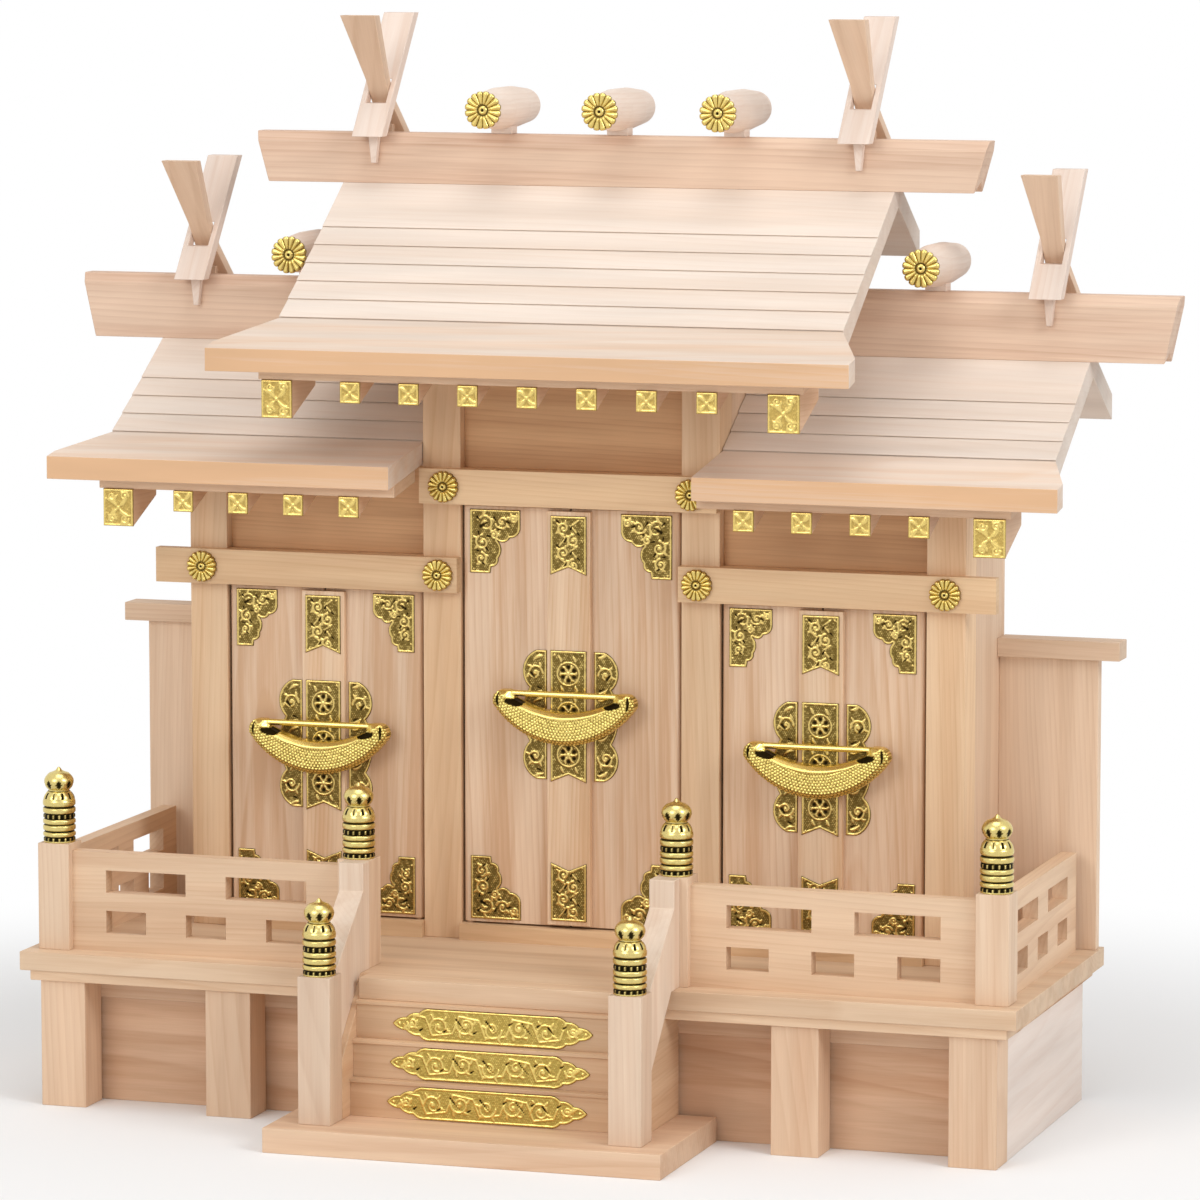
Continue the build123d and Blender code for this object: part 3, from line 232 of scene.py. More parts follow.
def along_grain(pitch, detail, roughness=0.5):
    """Noise drawn out along the grain, in the stick's own place in the log."""
    place = vector_step("MULTIPLY", in_log["Vector"], pitch)[0]
    return node_in(grain_group, "TexNoise", {"Vector": place, "Scale": 1.0, "Detail": detail,
                                             "Roughness": roughness}).outputs


wander = vector_step("SUBTRACT", along_grain(LOG_WANDER_PITCH, 2.0)["Color"], (0.5, 0.5, 0.5))[0]
bent_log = vector_step("ADD", in_log["Vector"], vector_step("MULTIPLY", wander, LOG_SWAY)[0])[0]
bent = node_in(grain_group, "SeparateXYZ", {0: bent_log}).outputs
from_pith = node_in(grain_group, "CombineXYZ", {"X": 0.0, "Y": bent["Y"], "Z": bent["Z"]}).outputs[0]
radius = vector_step("LENGTH", from_pith)["Value"]
tapered = worked(grain_group, "MULTIPLY_ADD", bent["X"], LOG_TAPER, radius)
rings = worked(grain_group, "DIVIDE", tapered, grain_in.outputs["Ring Spacing"])
ring_part = worked(grain_group, "FRACT", rings)
year = node_in(grain_group, "TexWhiteNoise", {"W": worked(grain_group, "FLOOR", rings)},
               noise_dimensions="1D").outputs["Value"]
ring_line = worked(grain_group, "MULTIPLY", worked(grain_group, "POWER", ring_part, RING_RISE),
                   carried(grain_group, ring_part, (0.90, 1.0), (1.0, 0.0)))
ring_dark = worked(grain_group, "MULTIPLY", ring_line, carried(grain_group, year, target=(0.30, 1.0)))
fibre = along_grain(FIBRE_PITCH, 2.0)["Fac"]
fibre_dark = carried(grain_group, fibre, (0.35, 0.75), (0.0, 0.35))
streak_dark = carried(grain_group, along_grain(STREAK_PITCH, 4.0, 0.62)["Fac"], (0.40, 0.66), (0.0, 1.1),
                      eased=True)
all_dark = worked(grain_group, "ADD", worked(grain_group, "ADD", ring_dark, fibre_dark), streak_dark)
lines = worked(grain_group, "MULTIPLY", all_dark, grain_in.outputs["Ring Strength"], clamped=True)
# Faces across a stick's width are drawn towards the late-wood colour by the edge setting: painted shade, so
# narrow front edges read darker than the lit broad faces.
late_and_edge_shade = worked(grain_group, "MULTIPLY_ADD", carried(grain_group, cut_edge["Fac"], (0.5, 0.9)),
                   grain_in.outputs["Edge Painted Shade"], lines, clamped=True)
two_woods = node_in(grain_group, "Mix", {0: late_and_edge_shade, 6: grain_in.outputs["Early Wood"],
                                         7: grain_in.outputs["Late Wood"]}, data_type="RGBA")
patch_tone = carried(grain_group, along_grain(PATCH_PITCH, 3.0)["Fac"], (0.3, 0.7),
                     (-PATCH_TONE, PATCH_TONE))
own_tone = worked(grain_group, "MULTIPLY", stick_tone["Fac"], grain_in.outputs["Tone Spread"])
tone = worked(grain_group, "ADD", worked(grain_group, "ADD", own_tone, patch_tone), 1.0)
tone = worked(grain_group, "MULTIPLY", tone, carried(grain_group, cut_end["Fac"], (0.6, 0.95), (1.0, 0.90)))
toned = node_in(grain_group, "HueSaturation", {"Value": tone, "Color": two_woods.outputs[2]})
grain_group.links.new(toned.outputs["Color"], grain_out.inputs["Colour"])
grain_group.links.new(carried(grain_group, fibre, target=(0.52, 0.68)), grain_out.inputs["Roughness"])
grain_group.links.new(lines, grain_out.inputs["Height"])


def group_in(tree, group, values):
    """A shader group placed in a material with that material's own values."""
    placed = tree.nodes.new("ShaderNodeGroup")
    placed.node_tree = group
    for title, value in values.items():
        placed.inputs[title].default_value = value
    return placed.outputs


def cypress(name, early, late, spacing=0.0021, strength=0.5, spread=0.05, edge_painted_shade=0.0):
    """Bare planed cypress of one colour: early wood, late wood, the pitch of its rings, and painted shade on
    its narrow edges.
    """
    material, tree, out = empty_material(name)
    grain = group_in(tree, grain_group, {
        "Early Wood": early + (1.0,), "Late Wood": late + (1.0,), "Ring Spacing": spacing,
        "Ring Strength": strength, "Tone Spread": spread, "Edge Painted Shade": edge_painted_shade})
    bump = node_in(tree, "Bump", {"Height": grain["Height"], "Strength": 0.25, "Distance": 0.00006})
    shader = node_in(tree, "BsdfPrincipled", {"Base Color": grain["Colour"], "Roughness": grain["Roughness"],
                                              "Specular IOR Level": 0.35, "Normal": bump.outputs["Normal"]})
    tree.links.new(shader.outputs["BSDF"], out.inputs["Surface"])
    return material


def islands(shape):
    """The separate solids of a mesh, as lists of faces."""
    shape.faces.ensure_lookup_table()
    left = set(shape.faces)
    found = []
    for seed in shape.faces:
        if seed not in left:
            continue
        left.discard(seed)
        solid = [seed]
        for face in solid:
            for edge in face.edges:
                for other in edge.link_faces:
                    if other in left:
                        left.discard(other)
                        solid.append(other)
        found.append(solid)
    return found


def box_of(solid):
    """The lowest and the highest corner of a solid, in millimetres."""
    corners = [corner.co / MM for face in solid for corner in face.verts]
    return (Vector([min(corner[axis] for corner in corners) for axis in range(3)]),
            Vector([max(corner[axis] for corner in corners) for axis in range(3)]))


def stock_of(node):
    """The CAD piece's shape as an editable copy, with each flat side as one face."""
    stock = bmesh.new()
    stock.from_mesh(frame["nodes"][node].data)
    bmesh.ops.remove_doubles(stock, verts=stock.verts, dist=SAME_POINT)
    bmesh.ops.dissolve_limit(stock, angle_limit=FLAT_ANGLE, verts=stock.verts, edges=stock.edges)
    stock.edges.index_update()
    stock.faces.index_update()
    return stock


def stick_axes(solid, along):
    """Axes of one stick: along its grain, and across its widest face."""
    if along is None:
        edges = {edge for face in solid for edge in face.edges}
        longest = max(edges, key=lambda edge: (round(edge.calc_length(), 5), -edge.index))
        grain = (longest.verts[1].co - longest.verts[0].co).normalized()
    else:
        grain = Vector(along).normalized()
    widest = max(solid, key=lambda face: (round(face.calc_area() * (1 - abs(face.normal.dot(grain))), 9),
                                          -face.index))
    depth = (widest.normal - grain * widest.normal.dot(grain)).normalized()
    return grain, depth.cross(grain), depth


def add_piece(node, mesh, material, suffix):
    """A finished mesh takes the place of its CAD piece and moves with the same body."""
    mesh.materials.append(material)
    piece = bpy.data.objects.new(node + suffix, mesh)
    scene.collection.objects.link(piece)
    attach(piece, frame["nodes"][node]["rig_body"])
    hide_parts(node)
    return piece


def planed(node, material, along=None, cut=RIFT_SAWN, edge=EASED_EDGE, stock=None):
    """A wooden piece with planed faces, eased edges and its own growth rings."""
    stock = stock or stock_of(node)
    chance = random.Random(node)
    axes = []
    for number, solid in enumerate(islands(stock)):
        grain, across, depth = stick_axes(solid, along)
        start = Vector((chance.uniform(0, 4), chance.uniform(*cut[0]), chance.uniform(*cut[1])))
        axes.append((grain, across, depth, start, chance.uniform(-1, 1)))
        for face in solid:
            face.material_index = number
    sharp = [rim for rim in stock.edges if rim.is_manifold and rim.calc_face_angle(0) > SHARP_ANGLE]
    bmesh.ops.scale(stock, vec=(1 / MM, 1 / MM, 1 / MM), verts=stock.verts)
    eased = bmesh.ops.bevel(stock, geom=sharp, offset=edge, segments=2, profile=0.5,
                            affect="EDGES", clamp_overlap=True)
    bmesh.ops.scale(stock, vec=(MM, MM, MM), verts=stock.verts)
    rounded = set(eased["faces"])
    numbers = [face.material_index for face in stock.faces]
    for face in stock.faces:
        face.smooth = face in rounded
        face.material_index = 0
    mesh = bpy.data.meshes.new(node + "_planed")
    stock.to_mesh(mesh)
    stock.free()
    kept = {"log_place": ("FLOAT_VECTOR", "POINT"), "stick_tone": ("FLOAT", "POINT"),
            "cut_end": ("FLOAT", "FACE"), "cut_edge": ("FLOAT", "FACE")}
    for title, (kind, domain) in kept.items():
        mesh.attributes.new(title, kind, domain)
    place, shade, end, rim = (mesh.attributes[title].data for title in kept)
    for polygon, number in zip(mesh.polygons, numbers):
        grain, across, depth, start, own_shade = axes[number]
        end[polygon.index].value = abs(polygon.normal.dot(grain))
        rim[polygon.index].value = abs(polygon.normal.dot(across))
        for corner in polygon.vertices:
            point = mesh.vertices[corner].co
            place[corner].vector = start + Vector((point.dot(grain), point.dot(across), point.dot(depth)))
            shade[corner].value = own_shade
    return add_piece(node, mesh, material, "_wood")


plinth_wood = cypress("plinth_cypress", (0.745, 0.53, 0.365), (0.60, 0.37, 0.23), spacing=0.0024)
# The recessed front board has stronger rings as its own grain, and darker wood than the posts as painted
# shade, for the shadow under the veranda floor.
panel_wood_painted_shade = cypress("plinth_panel_cypress_painted_shade", (0.74, 0.49, 0.325), (0.56, 0.32, 0.185), spacing=0.0034,
                     strength=0.62)
planed("plinth_posts", plinth_wood)
planed("plinth_top_rail", plinth_wood, cut=QUARTER_SAWN)
planed("plinth_front_board", panel_wood_painted_shade, cut=FLAT_SAWN)
# The side boards are paler and greyer than the front: painted light, standing in for the strong cool light
# falling on the sides.
side_wood_painted_light = cypress("plinth_side_cypress_painted_light", (0.80, 0.695, 0.62), (0.70, 0.54, 0.45), strength=0.4)
planed("plinth_sides", side_wood_painted_light, cut=QUARTER_SAWN)
planed("plinth_back_board", plinth_wood, cut=FLAT_SAWN)

# Veranda floor
# One wide cypress board lies on four strips that frame the top of the plinth and is glued down.
# Its front edge shows the reddish heart of the wood.
floor_wood = cypress("floor_cypress", (0.785, 0.58, 0.40), (0.62, 0.40, 0.245), spacing=0.0026)
planed("floor_strip", floor_wood, cut=QUARTER_SAWN)
planed("veranda_floor", floor_wood, cut=RIFT_SAWN)

# Stairs
# Three shallow, steep steps of cypress are housed between solid side boards, below a landing board
# and on a thick ground plate. Parapets slope from the posts at their foot to those at their head.
stair_wood = cypress("stair_cypress", (0.69, 0.475, 0.30), (0.55, 0.33, 0.19), spacing=0.0022)
planed("stair_ground_plate", plinth_wood, cut=RIFT_SAWN)
planed("stair_sides", stair_wood, along=(0, 1, 0))
planed("stair_treads", stair_wood, cut=QUARTER_SAWN, edge=0.2)
planed("stair_risers", stair_wood, cut=RIFT_SAWN, edge=0.15)
planed("stair_landing", floor_wood, cut=QUARTER_SAWN)
parapet_wood = cypress("parapet_cypress", (0.84, 0.68, 0.54), (0.70, 0.50, 0.36))
newel_wood = cypress("newel_cypress", (0.77, 0.60, 0.455), (0.64, 0.45, 0.32))
planed("stair_parapets", parapet_wood)
planed("stair_newels", newel_wood)

# Gilt plates on the steps
# Thin brass sheet, cut to a pointed outline, pressed with a running scroll and gilded. The raised
# parts are rubbed bright, and the hollows keep a dark patina. Small nails hold the ends.
SHEET_STEP = 0.36
RIM_WIDTH = 1.1
GROUND_LIFT = 0.22
GROUND_DOT_PITCH = 0.95
GROUND_DOT_SIZE = 0.42
ROW_PITCH = 0.866
MARK_PITCH = 0.3
LEAF_STEPS = 8
LEAF_CURVE = 0.5
CURL_STEPS = 55
CURL_SWEEP = 1.3 * 2 * math.pi
CURL_WINDING = 0.78
HOLLOW_STEPS = 6
POINTS_AT_ONCE = 3000
BACK_SHARE = 0.30
BACK_RELIEF = 0.1
STAIR_CURL_PITCH = 12.4
STAIR_CURL_RADIUS = 4.3
STAIR_END_RADIUS = 2.4
STAIR_CURLS_A_SIDE = 3
STAIR_HOLLOWS = ((-14.6, 0.6, -0.85, 6.2), (-0.8, 0.6, -0.85, 6.2), (15.8, 0.6, -0.85, 6.2),
                 (27.0, 0.6, -0.85, 3.6), (-33.0, -2.2, 0.6, 1.6), (-22.0, -2.2, 0.6, 1.6),
                 (-8.0, -2.2, 0.6, 1.6), (8.5, 2.6, 0.6, 1.6), (21.5, 2.6, 0.6, 1.6), (33.5, 2.6, 0.6, 1.6))

# The height of the relief, from nought to one, sets how far the gilding is rubbed or tarnished.
HOLLOW_RELIEF = (0.05, 0.22)
RUB_START = 0.30
RUB_SPREAD = 0.14
gilt_group, gilt_in, gilt_out = group_with_sockets(
    "Rubbed gilding",
    [("Bright", "NodeSocketColor", (0.83, 0.64, 0.17, 1)),
     ("Dull", "NodeSocketColor", (0.32, 0.22, 0.055, 1)),
     ("Patina", "NodeSocketColor", (0.02, 0.013, 0.004, 1)),
     ("Rubbed Height", "NodeSocketFloat", 0.8)],
    [("Colour", "NodeSocketColor"), ("Roughness", "NodeSocketFloat"), ("Height", "NodeSocketFloat")])
gilt_place = node_in(gilt_group, "TexCoord").outputs["Object"]
cloud, speck = (
    node_in(gilt_group, "TexNoise", {"Vector": gilt_place, "Scale": scale, "Detail": detail}).outputs["Fac"]
    for scale, detail in ((420.0, 3.0), (2600.0, 1.0)))
relief = node_in(gilt_group, "Attribute", attribute_name="relief").outputs["Fac"]
dull_mix = node_in(gilt_group, "Mix", {0: carried(gilt_group, relief, HOLLOW_RELIEF, eased=True),
                                       6: gilt_in.outputs["Patina"], 7: gilt_in.outputs["Dull"]},
                   data_type="RGBA")
uneven = worked(gilt_group, "ADD", relief, carried(gilt_group, cloud, (0.3, 0.7), (-RUB_SPREAD, RUB_SPREAD)))
rubbed = carried(gilt_group, uneven, (RUB_START, gilt_in.outputs["Rubbed Height"]), eased=True)
gilt_mix = node_in(gilt_group, "Mix", {0: rubbed, 6: dull_mix.outputs[2], 7: gilt_in.outputs["Bright"]},
                   data_type="RGBA")
speckled = carried(gilt_group, speck, (0.3, 0.7), (0.86, 1.10))
gilt_tone = node_in(gilt_group, "HueSaturation", {"Value": speckled, "Color": gilt_mix.outputs[2]})
gilt_group.links.new(gilt_tone.outputs["Color"], gilt_out.inputs["Colour"])
gilt_group.links.new(carried(gilt_group, rubbed, target=(0.55, 0.27)), gilt_out.inputs["Roughness"])
gilt_group.links.new(cloud, gilt_out.inputs["Height"])


def gilding(name, bright, dull, patina=(0.02, 0.013, 0.004), rubbed_height=0.8):
    """Gilded brass: bright on its raised parts, dull on its ground and dark in its hollows."""
    material, tree, out = empty_material(name)
    wear = group_in(tree, gilt_group, {"Bright": bright + (1.0,), "Dull": dull + (1.0,),
                                       "Patina": patina + (1.0,), "Rubbed Height": rubbed_height})
    bump = node_in(tree, "Bump", {"Height": wear["Height"], "Strength": 0.2, "Distance": 0.0001})
    shader = node_in(tree, "BsdfPrincipled", {"Base Color": wear["Colour"], "Metallic": 1.0,
                                              "Roughness": wear["Roughness"],
                                              "Normal": bump.outputs["Normal"]})
    tree.links.new(shader.outputs["BSDF"], out.inputs["Surface"])
    return material


def sheets_of(node):
    """Each metal sheet of a node: its front outline, and its front and back, in millimetres."""
    stock = stock_of(node)
    sheets = []
    for solid in islands(stock):
        front = max((face for face in solid if face.normal.y < -0.99), key=lambda face: face.calc_area())
        outline = numpy.array([(corner.co.x / MM, corner.co.z / MM) for corner in front.verts])
        depths = [corner.co.y / MM for face in solid for corner in face.verts]
        sheets.append((outline, min(depths), max(depths)))
    stock.free()
    return sheets


def spaced_outline(outline, step):
    """The outline with points no further apart than a step."""
    spaced = []
    for here, there in zip(outline, numpy.roll(outline, -1, axis=0)):
        parts = max(1, int(math.ceil(numpy.linalg.norm(there - here) / step)))
        for part in range(parts):
            spaced.append(here + (there - here) * part / parts)
    return numpy.array(spaced)


def edge_distance(points, outline):
    """How far each point is from the outline."""
    nearest = numpy.full(len(points), 1e9)
    for here, there in zip(outline, numpy.roll(outline, -1, axis=0)):
        run = there - here
        along = numpy.clip(((points - here) @ run) / max(run @ run, 1e-12), 0.0, 1.0)
        nearest = numpy.minimum(nearest, numpy.linalg.norm(points - (here + along[:, None] * run), axis=1))
    return nearest


def inside(points, outline):
    """Which points lie inside the outline."""
    found = numpy.zeros(len(points), dtype=bool)
    for (x0, z0), (x1, z1) in zip(outline, numpy.roll(outline, -1, axis=0)):
        crosses = (z0 > points[:, 1]) != (z1 > points[:, 1])
        if z0 != z1:
            reach = x0 + (points[:, 1] - z0) * (x1 - x0) / (z1 - z0)
            found ^= crosses & (points[:, 0] < reach)
    return found


def ring_of(corners):
    """Each corner with the one after it, round to the first."""
    corners = list(corners)
    return list(zip(corners, corners[1:] + corners[:1]))


def filled(places, ring):
    """An outline filled with triangles: their corners, the triangles, and where each corner is from."""
    laid = [Vector((float(x), float(z))) for x, z in places]
    corners, _, triangles, came_from, _, _ = delaunay_2d_cdt(laid, ring, [], 1, 1e-5)
    return numpy.array([(corner.x, corner.y) for corner in corners]), triangles, came_from


def ground_dots(points, pitch=GROUND_DOT_PITCH):
    """The ring-punched ground between the scrolls: rows of small round bumps."""
    row = numpy.round(points[:, 1] / (pitch * ROW_PITCH))
    across = points[:, 0] - (row % 2) * pitch / 2
    off_x = across - numpy.round(across / pitch) * pitch
    off_z = points[:, 1] - row * pitch * ROW_PITCH
    return numpy.sqrt(numpy.clip(1 - (off_x ** 2 + off_z ** 2) / (GROUND_DOT_SIZE * pitch) ** 2, 0, 1))


def raised(points, marks):
    """Height over the ground of half-round marks, each given as (x, z, half width, height)."""
    lift = numpy.zeros(len(points))
    marks = numpy.array(marks)
    for start in range(0, len(points), POINTS_AT_ONCE):
        part = points[start:start + POINTS_AT_ONCE]
        square = ((part[:, None, 0] - marks[None, :, 0]) ** 2 + (part[:, None, 1] - marks[None, :, 1]) ** 2)
        swell = numpy.sqrt(numpy.clip(1 - square / marks[None, :, 2] ** 2, 0, 1)) * marks[None, :, 3]
        lift[start:start + POINTS_AT_ONCE] = swell.max(axis=1)
    return lift


def stem(points, width, height=0.85):
    """A stem through a few points, as closely spaced marks."""
    marks = []
    for (x0, z0), (x1, z1) in zip(points, points[1:]):
        parts = max(2, int(math.hypot(x1 - x0, z1 - z0) / MARK_PITCH))
        for part in range(parts + 1):
            share = part / parts
            marks.append((x0 + (x1 - x0) * share, z0 + (z1 - z0) * share, width, height))
    return marks


def leaf(x, z, angle, length, width):
    """A pointed leaf with a curved back, from its stalk outwards."""
    marks = []
    for part in range(LEAF_STEPS + 1):
        share = part / LEAF_STEPS
        turn = angle + LEAF_CURVE * share
        swell = width * (0.25 + 0.75 * math.sin(math.pi * min(1.0, 0.12 + 0.86 * share)))
        marks.append((x + length * share * math.cos(turn), z + length * share * math.sin(turn), swell, 0.9))
    return marks


def curl(x, z, radius, start, hand, leaves=3):
    """A scroll that winds inwards to a bud, with leaves along its back."""
    marks = []
    for part in range(CURL_STEPS + 1):
        share = part / CURL_STEPS
        angle = start + hand * CURL_SWEEP * share
        reach = radius * (1 - CURL_WINDING * share)
        marks.append((x + reach * math.cos(angle), z + reach * math.sin(angle), 0.66 - 0.22 * share, 0.95))
    marks.append((x, z, radius * 0.26, 1.0))
    for number in range(leaves):
        share = 0.10 + 0.15 * number
        angle = start + hand * CURL_SWEEP * share
        reach = radius * (1 - CURL_WINDING * share)
        marks += leaf(x + reach * math.cos(angle), z + reach * math.sin(angle), angle + hand * 0.6 - 0.25,
                      radius * 0.62, 0.75)
    return marks


def hollow(x, z, angle, length, width):
    """A deep comma-shaped hollow between the scrolls."""
    marks = []
    for part in range(HOLLOW_STEPS + 1):
        share = part / HOLLOW_STEPS
        along = length * (share - 0.5)
        taper = 1 - 0.5 * share
        marks.append((x + along * math.cos(angle), z + along * math.sin(angle), width * taper, 1.0))
    return marks


def pressed_sheet(shape, sheet, marks, hollows=(), rim=RIM_WIDTH, step=SHEET_STEP):
    """Adds one sheet with its relief to a mesh under construction: points, faces and heights."""
    outline, front, back = sheet
    points, faces, heights = shape
    border = spaced_outline(outline, step)
    low, high = outline.min(axis=0), outline.max(axis=0)
    rows = numpy.arange(low[1] + step / 2, high[1], step * ROW_PITCH)
    field = numpy.array([(x + (step / 2 if number % 2 else 0.0), z) for number, z in enumerate(rows)
                         for x in numpy.arange(low[0] + step / 2, high[0], step)])
    field = field[inside(field, outline)]
    field = field[edge_distance(field, outline) > step * 0.45]
    plane, triangles, _ = filled(numpy.vstack((border, field)), ring_of(range(len(border))))
    away = edge_distance(plane, outline)
    bead = numpy.sqrt(numpy.clip(1 - ((away - rim / 2) / (rim / 2)) ** 2, 0, 1))
    swirl = numpy.sin(plane[:, 0] * 1.9 + 2.0 * numpy.sin(plane[:, 1] * 1.3))
    clumps = 0.5 + 0.5 * swirl * numpy.cos(plane[:, 1] * 2.3)
    lift = GROUND_LIFT + (0.08 + 0.42 * clumps) * ground_dots(plane)
    lift = numpy.maximum(lift, raised(plane, marks))
    if len(hollows):
        lift = lift * (1 - raised(plane, hollows)) + 0.02
    lift = numpy.where(away < rim, numpy.maximum(0.25 + 0.55 * bead, lift * (away / rim)), lift)
    first = len(points)
    depths = back + (front - back) * (BACK_SHARE + (1 - BACK_SHARE) * lift)
    points += [(x * MM, depth * MM, z * MM) for (x, z), depth in zip(plane, depths)]
    heights += list(lift)
    used = {}
    for triangle in triangles:
        faces.append(tuple(first + corner for corner in triangle))
        for pair in ring_of(triangle):
            used[frozenset(pair)] = used.get(frozenset(pair), 0) + 1
    open_edges = [tuple(pair) for pair, times in used.items() if times == 1]
    edge_corners = list(dict.fromkeys(corner for pair in open_edges for corner in pair))
    behind = {corner: len(points) + number for number, corner in enumerate(edge_corners)}
    points += [(plane[corner][0] * MM, back * MM, plane[corner][1] * MM) for corner in edge_corners]
    heights += [BACK_RELIEF] * len(edge_corners)
    faces += [(first + one, first + two, behind[two], behind[one]) for one, two in open_edges]
    order = {corner: number for number, corner in enumerate(edge_corners)}
    edge_ring = [(order[one], order[two]) for one, two in open_edges]
    _, back_triangles, came_from = filled(plane[edge_corners], edge_ring)
    for triangle in back_triangles:
        faces.append(tuple(behind[edge_corners[came_from[corner][0]]] for corner in triangle))


def finish_metal(node, shape, material):
    """Turns the gathered points, faces and heights into the piece that replaces a node."""
    points, faces, heights = shape
    mesh = bpy.data.meshes.new(node + "_metal")
    mesh.from_pydata(points, [], faces)
    edit = bmesh.new()
    edit.from_mesh(mesh)
    bmesh.ops.recalc_face_normals(edit, faces=edit.faces)
    edit.to_mesh(mesh)
    edit.free()
    mesh.attributes.new("relief", "FLOAT", "POINT")
    mesh.attributes["relief"].data.foreach_set("value", numpy.array(heights, dtype=numpy.float32))
    for polygon in mesh.polygons:
        polygon.use_smooth = True
    return add_piece(node, mesh, material, "_metal")


stair_gilt = gilding("stair_plate_gilt", (0.82, 0.63, 0.19), (0.46, 0.34, 0.085))
shape = ([], [], [])
for sheet in sheets_of("stair_plates"):
    outline = sheet[0]
    middle_x, middle_z = (outline.max(axis=0) + outline.min(axis=0)) / 2
    half = (outline[:, 0].max() - outline[:, 0].min()) / 2
    marks = []
    hollows = []
    vine = []
    for number in range(-STAIR_CURLS_A_SIDE, STAIR_CURLS_A_SIDE + 1):
        x = middle_x + number * STAIR_CURL_PITCH
        up = 1 if number % 2 else -1
        radius = STAIR_CURL_RADIUS if abs(number) < STAIR_CURLS_A_SIDE else STAIR_END_RADIUS
        marks += curl(x, middle_z + up * 0.6, radius, math.pi if number else 0.0, up)
        vine.append((x - STAIR_CURL_PITCH / 2, middle_z - up * 3.2))
        vine.append((x - STAIR_CURL_PITCH / 4, middle_z + up * 4.6))
    marks += stem(vine[1:], 0.6)
    for x, up, angle, length in STAIR_HOLLOWS:
        hollows += hollow(middle_x + x, middle_z + up, angle, length, 0.75 if angle < 0 else 0.7)
    for side in (-1, 1):
        marks += leaf(middle_x + side * (half - 9.5), middle_z, 0.0 if side > 0 else math.pi, 6.0, 1.2)
        marks.append((middle_x + side * (half - 3.2), middle_z, 0.8, 1.0))
    pressed_sheet(shape, sheet, marks, hollows)
finish_metal("stair_plates", shape, stair_gilt)

# Veranda posts and railings
# Square cypress posts stand at the corners of the floor and at the head of the stairs. Between
# them the railings are halved together from three bars and short blocks.
post_wood = cypress("veranda_post_cypress", (0.76, 0.57, 0.41), (0.62, 0.41, 0.265))
rail_wood = cypress("railing_cypress", (0.75, 0.54, 0.365), (0.60, 0.38, 0.235))
planed("veranda_posts", post_wood)
planed("front_railings", rail_wood, cut=QUARTER_SAWN)
planed("side_railings", rail_wood, cut=QUARTER_SAWN)

# Caps of the railing posts
# A sleeve of pressed and gilded brass, with raised bands, a collar of small petals, a neck and an
# onion-shaped knob with a pointed tip. It is slipped over the top of the post and pinned.
CAP_BANDS = ((2.7, 4.6), (5.4, 7.9), (8.4, 10.5), (13.3, 15.8), (16.5, 19.3))
CAP_DARK_BANDS = ((0.7, 2.1), (11.0, 12.8))
CAP_GROOVE = 0.75
CAP_COLLAR = (19.4, 23.0)
CAP_COLLAR_ROW = (19.8, 22.6)
CAP_NECK = (23.2, 4.9, 0.1)
CAP_KNOB_FOOT = 23.6
CAP_KNOB_RADIUS = 6.75
CAP_KNOB_STEPS = 14
CAP_FLUTE_MIDDLE = 26.4
CAP_FLUTE_REACH = 2.0
CAP_TIP = ((2.1, 2.9, 0.9), (1.5, 1.5, 0.95), (0.7, 0.9, 1.0), (0.1, 0.45, 1.0), (0.0, 0.02, 1.0))
CAP_TIP_HEIGHT = 2.6
CAP_TURNS = 64
CAP_COLLAR_PETALS = 10
CAP_FLUTES = 8
CAP_BAND_BEADS = 16
cap_gilt = gilding("cap_gilt", (0.73, 0.59, 0.22), (0.13, 0.095, 0.025), (0.010, 0.008, 0.003))


def cap_profile(height, radius):
    """Height, radius and brightness up the cap, in millimetres."""
    profile = []
    for z in numpy.arange(0.0, CAP_BANDS[-1][1], 0.28):
        reach, lift = radius - CAP_GROOVE, 0.05
        for low, high in CAP_BANDS:
            if low <= z <= high:
                share = (z - low) / (high - low) * 2 - 1
                reach = radius - CAP_GROOVE + CAP_GROOVE * math.sqrt(max(0.0, 1 - share ** 4))
                lift = 1.0 if abs(share) < 0.9 else 0.4
        for low, high in CAP_DARK_BANDS:
            if low <= z <= high:
                reach, lift = radius - 0.55, 0.3
        if z < 0.6:
            reach, lift = radius - 0.25, 0.8
        profile.append((z, reach, lift))
    for z in numpy.arange(*CAP_COLLAR, 0.3):
        share = (z - CAP_COLLAR[0]) / (CAP_COLLAR[1] - CAP_COLLAR[0])
        profile.append((z, radius - 0.3 - 1.9 * share ** 2, 0.75))
    profile.append(CAP_NECK)
    for part in range(CAP_KNOB_STEPS + 1):
        share = part / CAP_KNOB_STEPS
        z = CAP_KNOB_FOOT + (height - CAP_TIP_HEIGHT - CAP_KNOB_FOOT) * share
        swell = math.sin(math.pi * (0.20 + 0.62 * share))
        profile.append((z, CAP_KNOB_RADIUS * swell ** 0.7, 0.85))
    return profile + [(height - below, reach, lift) for below, reach, lift in CAP_TIP]


def cap_relief(z, angle, reach, tone):
    """Radius and brightness at one place, with petals, flutes and beads cut into the turned shape."""
    if CAP_COLLAR_ROW[0] < z < CAP_COLLAR_ROW[1]:
        petal = abs(math.cos(angle * CAP_COLLAR_PETALS / 2))
        return reach - 0.45 * (1 - petal) ** 2, 1.0 if petal > 0.45 else 0.0
    arch = 1 - ((z - CAP_FLUTE_MIDDLE) / CAP_FLUTE_REACH) ** 2
    if arch > 0 and abs(math.cos(angle * CAP_FLUTES / 2)) < 0.75 * arch:
        return reach - 0.4 * arch, 0.08
    if any(low < z < high for low, high in CAP_DARK_BANDS):
        bead = abs(math.cos(angle * CAP_BAND_BEADS / 2))
        return reach + 0.35 * bead ** 2, 0.75 if bead > 0.8 else 0.03
    return reach, tone


